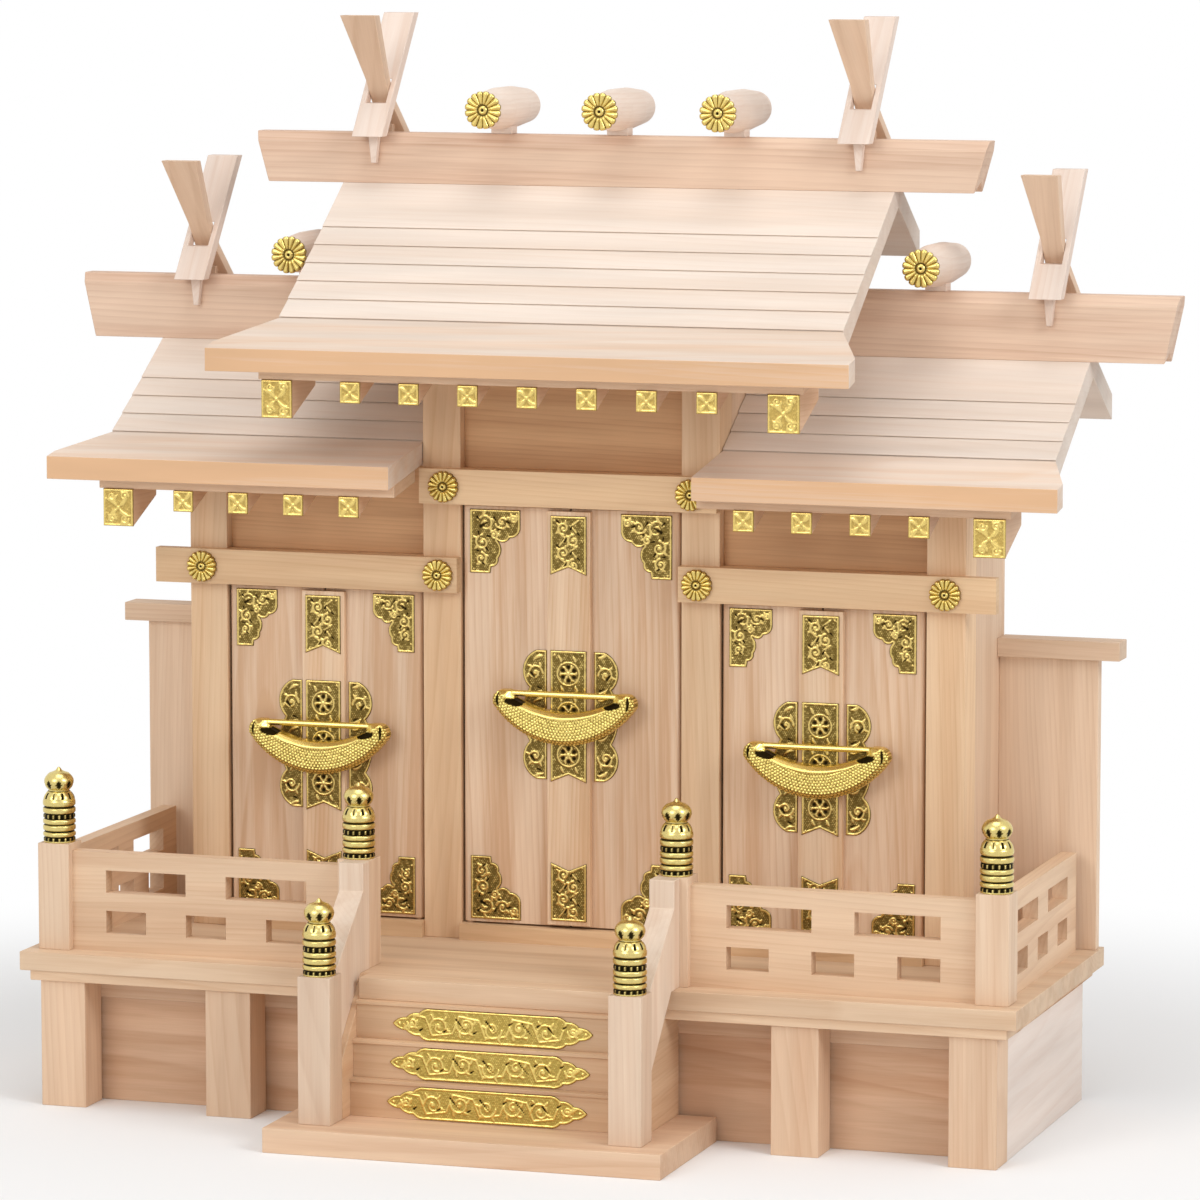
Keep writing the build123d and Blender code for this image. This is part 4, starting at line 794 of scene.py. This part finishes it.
def joined_rings(shape, rings):
    """Rings of points and heights, joined one to the next and closed at both ends."""
    points, faces, heights = shape
    first = len(points)
    turns = len(rings[0])
    for ring in rings:
        points += [place for place, _ in ring]
        heights += [tone for _, tone in ring]
    for level in range(len(rings) - 1):
        here = first + level * turns
        for one, two in ring_of(range(turns)):
            faces.append((here + one, here + two, here + turns + two, here + turns + one))
    faces.append(tuple(first + turn for turn in reversed(range(turns))))
    faces.append(tuple(first + (len(rings) - 1) * turns + turn for turn in range(turns)))


shape = ([], [], [])
cap_stock = stock_of("post_caps")
for solid in islands(cap_stock):
    low, high = box_of(solid)
    middle = (low + high) / 2
    rings = []
    for z, reach, lift in cap_profile(high.z - low.z, (high.x - low.x) / 2):
        rings.append([])
        for turn in range(CAP_TURNS):
            angle = 2 * math.pi * turn / CAP_TURNS
            out, tone = cap_relief(z, angle, reach, lift)
            x, y = middle.x + out * math.cos(angle), middle.y + out * math.sin(angle)
            rings[-1].append(((x * MM, y * MM, (low.z + z) * MM), tone))
    joined_rings(shape, rings)
cap_stock.free()
finish_metal("post_caps", shape, cap_gilt)

# Body: posts, sills, crossbeams, boards and walls
# Four square cypress posts stand on the floor. Sills and crossbeams are tenoned between them, thin
# boards close the front under the roofs, and plain boards close the sides and back.
beam_wood = cypress("beam_cypress", (0.77, 0.54, 0.325), (0.61, 0.375, 0.205))
body_wood = cypress("body_post_cypress", (0.80, 0.57, 0.365), (0.63, 0.39, 0.215), spacing=0.0019)
# The transom boards get darker, more saturated wood than the beams: painted shade, for the shadow under the
# eaves.
transom_wood_painted_shade = cypress("transom_cypress_painted_shade", (0.72, 0.425, 0.22), (0.55, 0.295, 0.14), strength=0.6)
wall_wood = cypress("wall_cypress", (0.74, 0.54, 0.38), (0.60, 0.39, 0.25), spacing=0.0026)
planed("shrine_posts", body_wood)
planed("door_sills", beam_wood, along=(1, 0, 0))
planed("crossbeams", beam_wood, along=(1, 0, 0))
planed("transom_panels", transom_wood_painted_shade, along=(1, 0, 0), cut=FLAT_SAWN)
planed("side_walls", wall_wood, along=(0, 0, 1))
planed("back_boards", wall_wood, along=(0, 0, 1), cut=FLAT_SAWN)

# Side screens
# A low cypress board at each side of the body, housed in the floor and glued to the wall, with a
# wider cap board on top.
screen_wood = cypress("screen_cypress", (0.79, 0.60, 0.44), (0.64, 0.43, 0.28))
planed("side_screens", screen_wood, along=(0, 0, 1), cut=QUARTER_SAWN)
planed("screen_caps", screen_wood, cut=QUARTER_SAWN)

# Rafters and their gilt ends
# Short cypress rafters lie in rows under the front eaves, larger at the corners. A small square of
# gilded brass, pressed with a four-petalled flower, is nailed on the end of each.
RAFTER_SHEET_STEP = 0.42
SMALL_RAFTER_HALF = 6.0
rafter_wood = cypress("rafter_cypress", (0.72, 0.49, 0.325), (0.57, 0.34, 0.20))
planed("rafters", rafter_wood, along=(0, 1, 0))
shape = ([], [], [])
for sheet in sheets_of("rafter_caps"):
    outline = sheet[0]
    low, high = outline.min(axis=0), outline.max(axis=0)
    x, z = (low + high) / 2
    wide, tall = (high - low) / 2
    marks = [(x, z, 1.2, 1.0)]
    for quarter in range(4):
        angle = math.pi / 4 + quarter * math.pi / 2
        marks += leaf(x + 1.5 * math.cos(angle), z + 1.5 * math.sin(angle), angle - LEAF_CURVE / 2,
                      min(wide, tall) * 0.75, 1.35)
    if wide > SMALL_RAFTER_HALF:
        for side in (-1, 1):
            marks += curl(x + side * wide * 0.42, z + tall * 0.62, 2.0, 0.0, side, 2)
            marks += curl(x - side * wide * 0.42, z - tall * 0.62, 2.0, 0.0, side, 2)
    pressed_sheet(shape, sheet, marks, step=RAFTER_SHEET_STEP)
rafter_gilt = gilding("rafter_gilt", (0.82, 0.62, 0.20), (0.52, 0.37, 0.11))
finish_metal("rafter_caps", shape, rafter_gilt)

# Roof boards
# The front slopes are thin cypress boards, nailed on in courses. Each course laps over the one
# below, and the open joint under its edge shows as a thin dark line. The rear slopes are plain.
COURSES = {"main": (6, 11.26), "wing": (4, 12.0)}
LAP_LIP = 0.3
LAP_JOINT_DEPTH = 2.6
FOOT_SLANT = 0.5
SAME_PLACE = 0.01
# The roof wood is pale and greyed: painted light, standing in for the strong cool light on the slopes from
# above. Its narrow faces also get painted shade.
roof_wood_painted_light = cypress("roof_cypress_painted_light", (0.775, 0.668, 0.58), (0.68, 0.53, 0.42), spacing=0.0024, strength=0.35,
                    edge_painted_shade=0.5)


def lapped_boards(node):
    """Front slopes in courses, laid between the ridge and the eave boards of the CAD piece."""
    stock = stock_of(node)
    laid = bmesh.new()
    for solid in islands(stock):
        low, high = box_of(solid)
        corners = [corner.co / MM for face in solid for corner in face.verts]
        ridge = max(corners, key=lambda corner: (round(corner.z, 3), -corner.y))
        foot = [corner.z for corner in corners if corner.y < low.y + SAME_PLACE]
        drop = max(foot) - min(foot)
        ridge, eave = Vector((ridge.y, ridge.z)), Vector((low.y, max(foot)))
        uphill = (ridge - eave).normalized()
        outward = Vector((-uphill.y, uphill.x))
        count, pitch = COURSES["main" if low.x < 0 < high.x else "wing"]
        outline = [ridge]
        for course in reversed(range(count)):
            edge = eave + uphill * (pitch * course / uphill.x)
            under = edge - outward * LAP_LIP
            inner = under + uphill * LAP_JOINT_DEPTH
            outline += [edge, under, inner, inner - outward * LAP_LIP, under - outward * LAP_LIP]
        outline += [Vector((low.y + FOOT_SLANT, max(foot) - drop)), Vector((ridge.x, ridge.y - drop))]
        left, right = ([laid.verts.new((x * MM, y * MM, z * MM)) for y, z in outline]
                       for x in (low.x, high.x))
        laid.faces.new(left)
        laid.faces.new(right[::-1])
        for one, two in ring_of(range(len(outline))):
            laid.faces.new((left[two], left[one], right[one], right[two]))
    bmesh.ops.recalc_face_normals(laid, faces=laid.faces)
    laid.faces.index_update()
    laid.edges.index_update()
    stock.free()
    return laid


planed("front_roof_boards", roof_wood_painted_light, along=(1, 0, 0), edge=0.12, stock=lapped_boards("front_roof_boards"))
planed("rear_roof_boards", roof_wood_painted_light, along=(1, 0, 0))

# Eaves
# A flat cypress board with flared ends is nailed along each front eave, over a narrower strip. The
# lowest course of the roof laps over its back edge.
eave_stock = stock_of("eave_boards")
for solid in islands(eave_stock):
    high = box_of(solid)[1] - Vector((0, SAME_PLACE, SAME_PLACE))
    for corner in {corner for face in solid for corner in face.verts}:
        if corner.co.y > high.y * MM and corner.co.z > high.z * MM:
            corner.co.z -= 2 * LAP_LIP * MM
# The eave boards are pale on their broad tops and strongly darkened on their narrow front edges: painted
# light on the tops and painted shade on the edges.
eave_wood_painted_light = cypress("eave_cypress_painted_light", (0.78, 0.655, 0.555), (0.70, 0.43, 0.245), spacing=0.0026, strength=0.3,
                    edge_painted_shade=0.75)
strip_wood = cypress("eave_strip_cypress", (0.74, 0.52, 0.35), (0.60, 0.37, 0.23), spacing=0.0026)
planed("eave_strips", strip_wood, along=(1, 0, 0))
planed("eave_boards", eave_wood_painted_light, along=(1, 0, 0), cut=QUARTER_SAWN, stock=eave_stock)

# Ridge beams
# A deep beam of pinkish cypress with slanting ends is pegged over the joint of the front and rear
# slopes of each roof.
ridge_wood = cypress("ridge_cypress", (0.75, 0.55, 0.41), (0.57, 0.36, 0.25), spacing=0.0028,
                     strength=0.55)
planed("ridge_beams", ridge_wood, along=(1, 0, 0), edge=0.4)

# Ridge logs and flower discs
# Short turned logs of pale cypress lie across the ridges on small saddles. Each has a disc of
# gilded brass with sixteen petals on its front end, and smaller ones are pinned over the joints of
# crossbeams and posts.
DISC_PETALS = 16
DISC_STEPS = 8
DISC_LEVELS = (1.0, 1.0, 0.985, 0.96, 0.92, 0.86, 0.78, 0.68, 0.58, 0.48, 0.38, 0.30, 0.26, 0.23, 0.18,
               0.10, 0.065, 0.05)
DISC_PETAL_FOOT = 0.30
DISC_BOSS = 0.24
DISC_PIN_HOLE = 0.08
DISC_BACK_SHARE = 0.25
log_wood = cypress("ridge_log_cypress", (0.83, 0.70, 0.60), (0.72, 0.54, 0.43))
planed("ridge_billets", log_wood, along=(0, 1, 0))


def disc_relief(share, across):
    """Height and brightness from the middle of a disc to its rim, and across one petal."""
    if share > DISC_PETAL_FOOT:
        crown = math.sqrt(max(0.0, 1 - across ** 2 * 0.98))
        slope = min(1.0, (1.02 - share) / 0.10)
        tone = 0.04 if across > 0.80 and share > 0.55 else 0.3 + 0.7 * crown
        return (0.25 + 0.55 * crown) * (0.45 + 0.55 * slope), tone
    if share > DISC_BOSS:
        return 0.35, 0.12
    if share > DISC_PIN_HOLE:
        return 0.55 + 0.35 * math.cos(share / DISC_BOSS * math.pi / 2), 0.95
    # The innermost ring is a small pit given the blackest tone: painted shade, for the shadow in the pin
    # hole at the middle.
    return 0.45, 0.0


def petal_disc(shape, solid):
    """One disc with petals round a boss, in the place of a CAD disc."""
    low, high = box_of(solid)
    x, z = (low.x + high.x) / 2, (low.z + high.z) / 2
    corners = [corner.co / MM for face in solid for corner in face.verts]
    full = min(math.hypot(corner.x - x, corner.z - z) for corner in corners)
    full *= math.cos(math.pi / DISC_PETALS)
    rings = []
    for level, share in enumerate(DISC_LEVELS):
        rings.append([])
        for turn in range(DISC_PETALS * DISC_STEPS):
            angle = 2 * math.pi * turn / (DISC_PETALS * DISC_STEPS)
            across = abs((turn % DISC_STEPS) / DISC_STEPS * 2 - 1)
            tip = full * (0.90 + 0.10 * math.sqrt(max(0.0, 1 - across ** 2)))
            reach = share * (tip if share > DISC_PETAL_FOOT else full * 0.95)
            lift, tone = disc_relief(share, across)
            forward = 0.0 if level == 0 else DISC_BACK_SHARE + (1 - DISC_BACK_SHARE) * lift
            y = high.y + (low.y - high.y) * forward
            place = (x + reach * math.cos(angle), y, z + reach * math.sin(angle))
            rings[-1].append(([length * MM for length in place], 0.5 if level < 2 else tone))
    joined_rings(shape, rings)


disc_gilt = gilding("disc_gilt", (0.75, 0.575, 0.185), (0.23, 0.155, 0.038))
for node in ("billet_caps", "beam_rosettes"):
    shape = ([], [], [])
    disc_stock = stock_of(node)
    for solid in islands(disc_stock):
        petal_disc(shape, solid)
    disc_stock.free()
    finish_metal(node, shape, disc_gilt)

# Crossed finials
# At each end of a ridge two tapered blades of cypress cross. The front blade passes through a slot
# in the rear one, and a pointed tang under each foot is pinned against the ridge.
# The front blades get tan wood and the rear blades pale wood: lit and shaded copies of one cypress, painted
# shade on the front blades and painted light on the rear blades.
front_blade_wood_painted_shade = cypress("finial_cypress", (0.78, 0.575, 0.42), (0.62, 0.41, 0.27))
rear_blade_wood_painted_light = cypress("rear_finial_cypress_painted_light", (0.82, 0.69, 0.60), (0.72, 0.54, 0.43))
planed("finial_front_blades", front_blade_wood_painted_shade)
planed("finial_rear_blades", rear_blade_wood_painted_light)

# Door leaves and battens
# Each leaf is one thin board of straight-grained cypress, hung on wooden pivots. A batten glued to
# the right leaf covers the joint between the two.
door_wood = cypress("door_cypress", (0.79, 0.59, 0.425), (0.62, 0.39, 0.235), spacing=0.0030, strength=0.75)
batten_wood = cypress("batten_cypress", (0.79, 0.585, 0.405), (0.63, 0.395, 0.225), strength=0.7)
CHAMBERS = ("main", "left", "right")
DOOR_EDGE = 0.25
for chamber in CHAMBERS:
    for leaf_name in ("_door_left", "_door_right"):
        planed(chamber + leaf_name, door_wood, along=(0, 0, 1), cut=QUARTER_SAWN, edge=DOOR_EDGE)
    planed(chamber + "_door_batten", batten_wood, along=(0, 0, 1), cut=QUARTER_SAWN)

# Gilt plates of the doors
# Pressed and gilded brass, pinned on: a corner plate at each outer corner of a leaf, a lobed plate
# beside the lock, and straight plates on the batten. All have a raised rim and scrolls of leaves
# on a ring-punched ground.
NAIL_RADIUS = 0.55
CORNER_ARM = 24.0
CORNER_CURLS = ((7.4, 6.4, 3.9, 3.6, 1, 3), (15.4, 5.6, 3.2, 2.8, -1, 3), (20.9, 4.3, 1.9, 3.2, 1, 2),
                (6.0, 15.0, 3.5, -1.6, -1, 3), (11.6, 11.6, 2.0, 3.9, 1, 2), (5.2, 22.4, 2.9, -1.4, 1, 3))
CORNER_NAILS = ((1.9, 1.9), (22.4, 1.9), (1.9, 27.2), (12.6, 12.4))
CORNER_HOLLOWS = ((6.6, 6.9, -0.5, 3.4, 1.05), (4.0, 4.1, 0.8, 1.6, 0.7), (12.0, 4.4, 1.0, 1.8, 0.65),
                  (18.3, 5.6, 0.4, 1.5, 0.75), (9.2, 12.2, 0.2, 1.7, 0.6), (4.2, 11.0, 1.3, 1.6, 0.6),
                  (8.2, 18.2, 0.9, 1.6, 0.65), (4.0, 19.0, 0.2, 1.4, 0.55), (6.6, 24.8, 0.6, 1.4, 0.6),
                  (14.2, 9.0, 0.0, 1.5, 0.55))
FLOWER_RADIUS = 5.2
FLOWER_RING_STEPS = 48
FLOWERS_UP = (19.5, 1.5, -17.5)
FLOWER_ROOM = 8.6
BATTEN_CURL_PITCH = 5.6
BATTEN_CURL_RADIUS = 2.9
BATTEN_ENDS = (4.4, 3.6)
FLANK_CURLS = ((-19.0, 5.6, 3.7), (0.0, 5.2, 4.0), (19.0, 5.6, 3.7))
FLANK_LEAVES = (-27.0, -10.5, -7.4, 7.4, 10.5, 27.0)
TALL_PLATE = 40.0


def corner_pattern(x, z, x_way, z_way, scale):
    """Scrolls, nails and deep hollows of a corner plate, from the corner out along its two arms."""
    marks = [mark for scroll in CORNER_CURLS for mark in curl(*scroll)]
    marks += [(across, up, NAIL_RADIUS / scale, 1.0) for across, up in CORNER_NAILS]
    hollows = [mark for comma in CORNER_HOLLOWS for mark in hollow(*comma)]
    return ([(x + x_way * across * scale, z + z_way * up * scale, width * scale, height)
             for across, up, width, height in part] for part in (marks, hollows))


def round_flower(x, z, radius):
    """A six-petalled flower in a ring, with dark hollows between its petals."""
    marks = [(x, z, radius * 0.24, 1.0)]
    hollows = []
    for petal in range(6):
        angle = petal * math.pi / 3
        marks += leaf(x + radius * 0.25 * math.cos(angle), z + radius * 0.25 * math.sin(angle),
                      angle - LEAF_CURVE / 2, radius * 0.55, radius * 0.20)
        between = angle + math.pi / 6
        hollows.append((x + radius * 0.58 * math.cos(between), z + radius * 0.58 * math.sin(between),
                        radius * 0.24, 1.0))
    for part in range(FLOWER_RING_STEPS):
        angle = part / FLOWER_RING_STEPS * 2 * math.pi
        marks.append((x + radius * math.cos(angle), z + radius * math.sin(angle), 0.5, 0.95))
    return marks, hollows


def batten_marks(low, high, flowers):
    """A stem that winds up the plate between small scrolls, with round flowers where given."""
    x = (low[0] + high[0]) / 2
    marks = []
    hollows = []
    z = low[1] + BATTEN_ENDS[0]
    side = 1
    while z < high[1] - BATTEN_ENDS[1]:
        if not any(abs(z - flower) < FLOWER_ROOM for flower in flowers):
            marks += curl(x + side * 2.3, z, BATTEN_CURL_RADIUS, side * math.pi / 2, side)
            bend = [(x - side * 4.4, z - 2.4), (x - side * 1.2, z + 1.0), (x - side * 4.4, z + 3.4)]
            marks += stem(bend, 0.5)
            hollows += hollow(x - side * 1.4, z + 0.3, 1.1, 1.7, 0.62)
            hollows += hollow(x + side * 4.9, z + 2.9, -0.7, 1.4, 0.6)
        z += BATTEN_CURL_PITCH
        side = -side
    for flower in flowers:
        flower_marks, flower_hollows = round_flower(x, flower, FLOWER_RADIUS)
        marks += flower_marks
        hollows += flower_hollows
        for beside, up in ((-1, -1), (-1, 1), (1, -1), (1, 1)):
            marks += leaf(x + beside * 3.4, flower + up * 5.6, math.pi / 2 * up, 2.6, 0.8)
    for edge_x in (low[0] + 1.9, high[0] - 1.9):
        marks += [(edge_x, up, NAIL_RADIUS, 1.0) for up in (high[1] - 2.0, low[1] + 2.0)]
    return marks, hollows


def flank_marks(low, high, side):
    """Three scrolls, one for each lobe, on the plate beside the lock."""
    inner = low[0] if side > 0 else high[0]
    middle_z = (low[1] + high[1]) / 2
    marks = []
    hollows = []
    for up, out, radius in FLANK_CURLS:
        start, hand = (math.pi if side > 0 else 0.0), (-side if up > 0 else side)
        marks += curl(inner + side * out, middle_z + up, radius, start, hand)
        hollows += hollow(inner + side * (out + 1.2), middle_z + up - 1.0, 0.9 * side, 2.6, 0.8)
    for up in FLANK_LEAVES:
        marks += leaf(inner + side * 2.2, middle_z + up, 0.0 if side > 0 else math.pi, 4.6, 0.95)
        hollows += hollow(inner + side * 3.4, middle_z + up + 1.7, 0.4 * side, 2.0, 0.6)
    return marks, hollows


plate_gilt = gilding("plate_gilt", (0.74, 0.55, 0.185), (0.175, 0.118, 0.031))
for chamber in CHAMBERS:
    batten_low, batten_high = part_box(chamber + "_door_batten")
    middle_x = (batten_low[0] + batten_high[0]) / 2 / MM
    for side, hand in ((-1, "left"), (1, "right")):
        node = chamber + "_door_plates_" + hand
        shape = ([], [], [])
        sheets = sheets_of(node)
        half_height = (min(sheet[0][:, 1].min() for sheet in sheets)
                       + max(sheet[0][:, 1].max() for sheet in sheets)) / 2
        for sheet in sheets:
            low, high = sheet[0].min(axis=0), sheet[0].max(axis=0)
            wide, tall = high - low
            centre = (low + high) / 2
            if abs(centre[0] - middle_x) < 1.0:
                flowers = [centre[1] + up for up in FLOWERS_UP] if tall > TALL_PLATE else ()
                marks, hollows = batten_marks(low, high, flowers)
            elif tall > TALL_PLATE:
                marks, hollows = flank_marks(low, high, side)
            else:
                corner_x = low[0] if side < 0 else high[0]
                corner_z, z_way = (low[1], 1) if centre[1] < half_height else (high[1], -1)
                marks, hollows = corner_pattern(corner_x, corner_z, -side, z_way, wide / CORNER_ARM)
            pressed_sheet(shape, sheet, marks, hollows)
        finish_metal(node, shape, plate_gilt)

# Locks
# A boat-shaped padlock of cast and gilded brass hangs on each batten: a fat crescent, punched all
# over with rows of dots below its smooth rim, and closed by a straight bar in two staples.
LOCK_GRID = 0.42
LOCK_SOFTENING = 5
LOCK_LOW_ARC = (40.66, 28.51)
LOCK_HIGH_ARC = (49.10, 51.80)
LOCK_OPENING_HALF = 24.5
LOCK_BAR_FOOT = 8.8
LOCK_RIM = 0.80
# The eye is a dark pit at each end of the lock's window: painted shade.
LOCK_SHADE_EYE = (23.2, 6.9, 4.3, 1.7, 0.10)
LOCK_HORN = (31.2, 8.0, 0.75, 3.4, 0.06)
PUNCH_PITCH = 1.6
PUNCH_ROW = 0.8
PUNCH_SIZE = 0.46
PUNCH_SWEEP = 36.0
PUNCH_DEPTH = 0.50
PUNCH_RISE = 0.55
CUT_DEPTH = 0.6
lock_gilt = gilding("lock_gilt", (0.88, 0.70, 0.22), (0.42, 0.31, 0.075))
for chamber in CHAMBERS:
    node = chamber + "_lock"
    low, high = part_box(node)
    middle_x, middle_z = ((low[axis] + high[axis]) / 2 / MM for axis in (0, 2))
    rough_cast = bpy.data.objects.new(node + "_rough", frame["nodes"][node].data.copy())
    scene.collection.objects.link(rough_cast)
    remesh = rough_cast.modifiers.new("even", "REMESH")
    remesh.mode = "VOXEL"
    remesh.voxel_size = LOCK_GRID * MM
    soften = rough_cast.modifiers.new("soften", "SMOOTH")
    soften.factor = 0.5
    soften.iterations = LOCK_SOFTENING
    depsgraph = bpy.context.evaluated_depsgraph_get()
    cast = bpy.data.meshes.new_from_object(rough_cast.evaluated_get(depsgraph))
    bpy.data.objects.remove(rough_cast)
    cast.materials.clear()
    count = len(cast.vertices)
    spots = numpy.empty(count * 3)
    cast.vertices.foreach_get("co", spots)
    normals = numpy.empty(count * 3)
    cast.vertex_normals.foreach_get("vector", normals)
    spots = spots.reshape(count, 3) / MM
    normals = normals.reshape(count, 3)
    x, z = spots[:, 0] - middle_x, spots[:, 2] - middle_z
    above = LOCK_LOW_ARC[0] - numpy.hypot(x, z - LOCK_LOW_ARC[1])
    below = numpy.hypot(x, z - LOCK_HIGH_ARC[1]) - LOCK_HIGH_ARC[0]
    share = above / numpy.maximum(above + below, 0.5)
    on_bar = (numpy.abs(x) < LOCK_OPENING_HALF) & (z > LOCK_BAR_FOOT)
    sweep = numpy.arctan2(x, LOCK_LOW_ARC[1] - z) * PUNCH_SWEEP
    row = numpy.round(above / (PUNCH_PITCH * PUNCH_ROW))
    off_sweep = sweep - (row % 2) * PUNCH_PITCH / 2
    off_sweep = off_sweep - numpy.round(off_sweep / PUNCH_PITCH) * PUNCH_PITCH
    off_row = above - row * PUNCH_PITCH * PUNCH_ROW
    from_dot = (off_sweep ** 2 + off_row ** 2) / (PUNCH_SIZE * PUNCH_PITCH) ** 2
    dots = numpy.sqrt(numpy.clip(1 - from_dot, 0, 1))
    punched = (share < LOCK_RIM) & ~on_bar & (normals[:, 1] < 0.35)
    out = numpy.abs(x)
    # The eye marks at the two ends of the lock's window are shallow pits given the blackest patina tone:
    # painted shade, for the deep shadow seen through the window there. The horn marks are pits with the same
    # tone.
    eye_x, eye_z, eye_long, eye_wide, eye_slant = LOCK_SHADE_EYE
    eye = ((out - eye_x) / eye_long) ** 2 + ((z - eye_z - eye_slant * (out - eye_x)) / eye_wide) ** 2 < 1
    horn_x, horn_z, horn_wide, horn_tall, horn_bend = LOCK_HORN
    horn = (((out - horn_x + horn_bend * (z - horn_z) ** 2) / horn_wide) ** 2
            + ((z - horn_z) / horn_tall) ** 2 < 1)
    eye_shade_and_horn_cut = (eye | horn) & ~on_bar & (normals[:, 1] < 0.2)
    depth = numpy.where(punched, PUNCH_RISE * dots - PUNCH_DEPTH, 0.0)
    depth = numpy.where(eye_shade_and_horn_cut, -CUT_DEPTH, depth)
    tone = numpy.where(punched, 0.10 + 0.90 * dots, 0.9)
    tone = numpy.where(eye_shade_and_horn_cut, 0.0, tone)
    spots += normals * depth[:, None]
    spots[:, 1] = numpy.maximum(spots[:, 1], low[1] / MM)
    cast.vertices.foreach_set("co", (spots * MM).ravel())
    cast.attributes.new("relief", "FLOAT", "POINT")
    cast.attributes["relief"].data.foreach_set("value", tone.astype(numpy.float32))
    for polygon in cast.polygons:
        polygon.use_smooth = True
    cast.update()
    add_piece(node, cast, lock_gilt, "_metal")
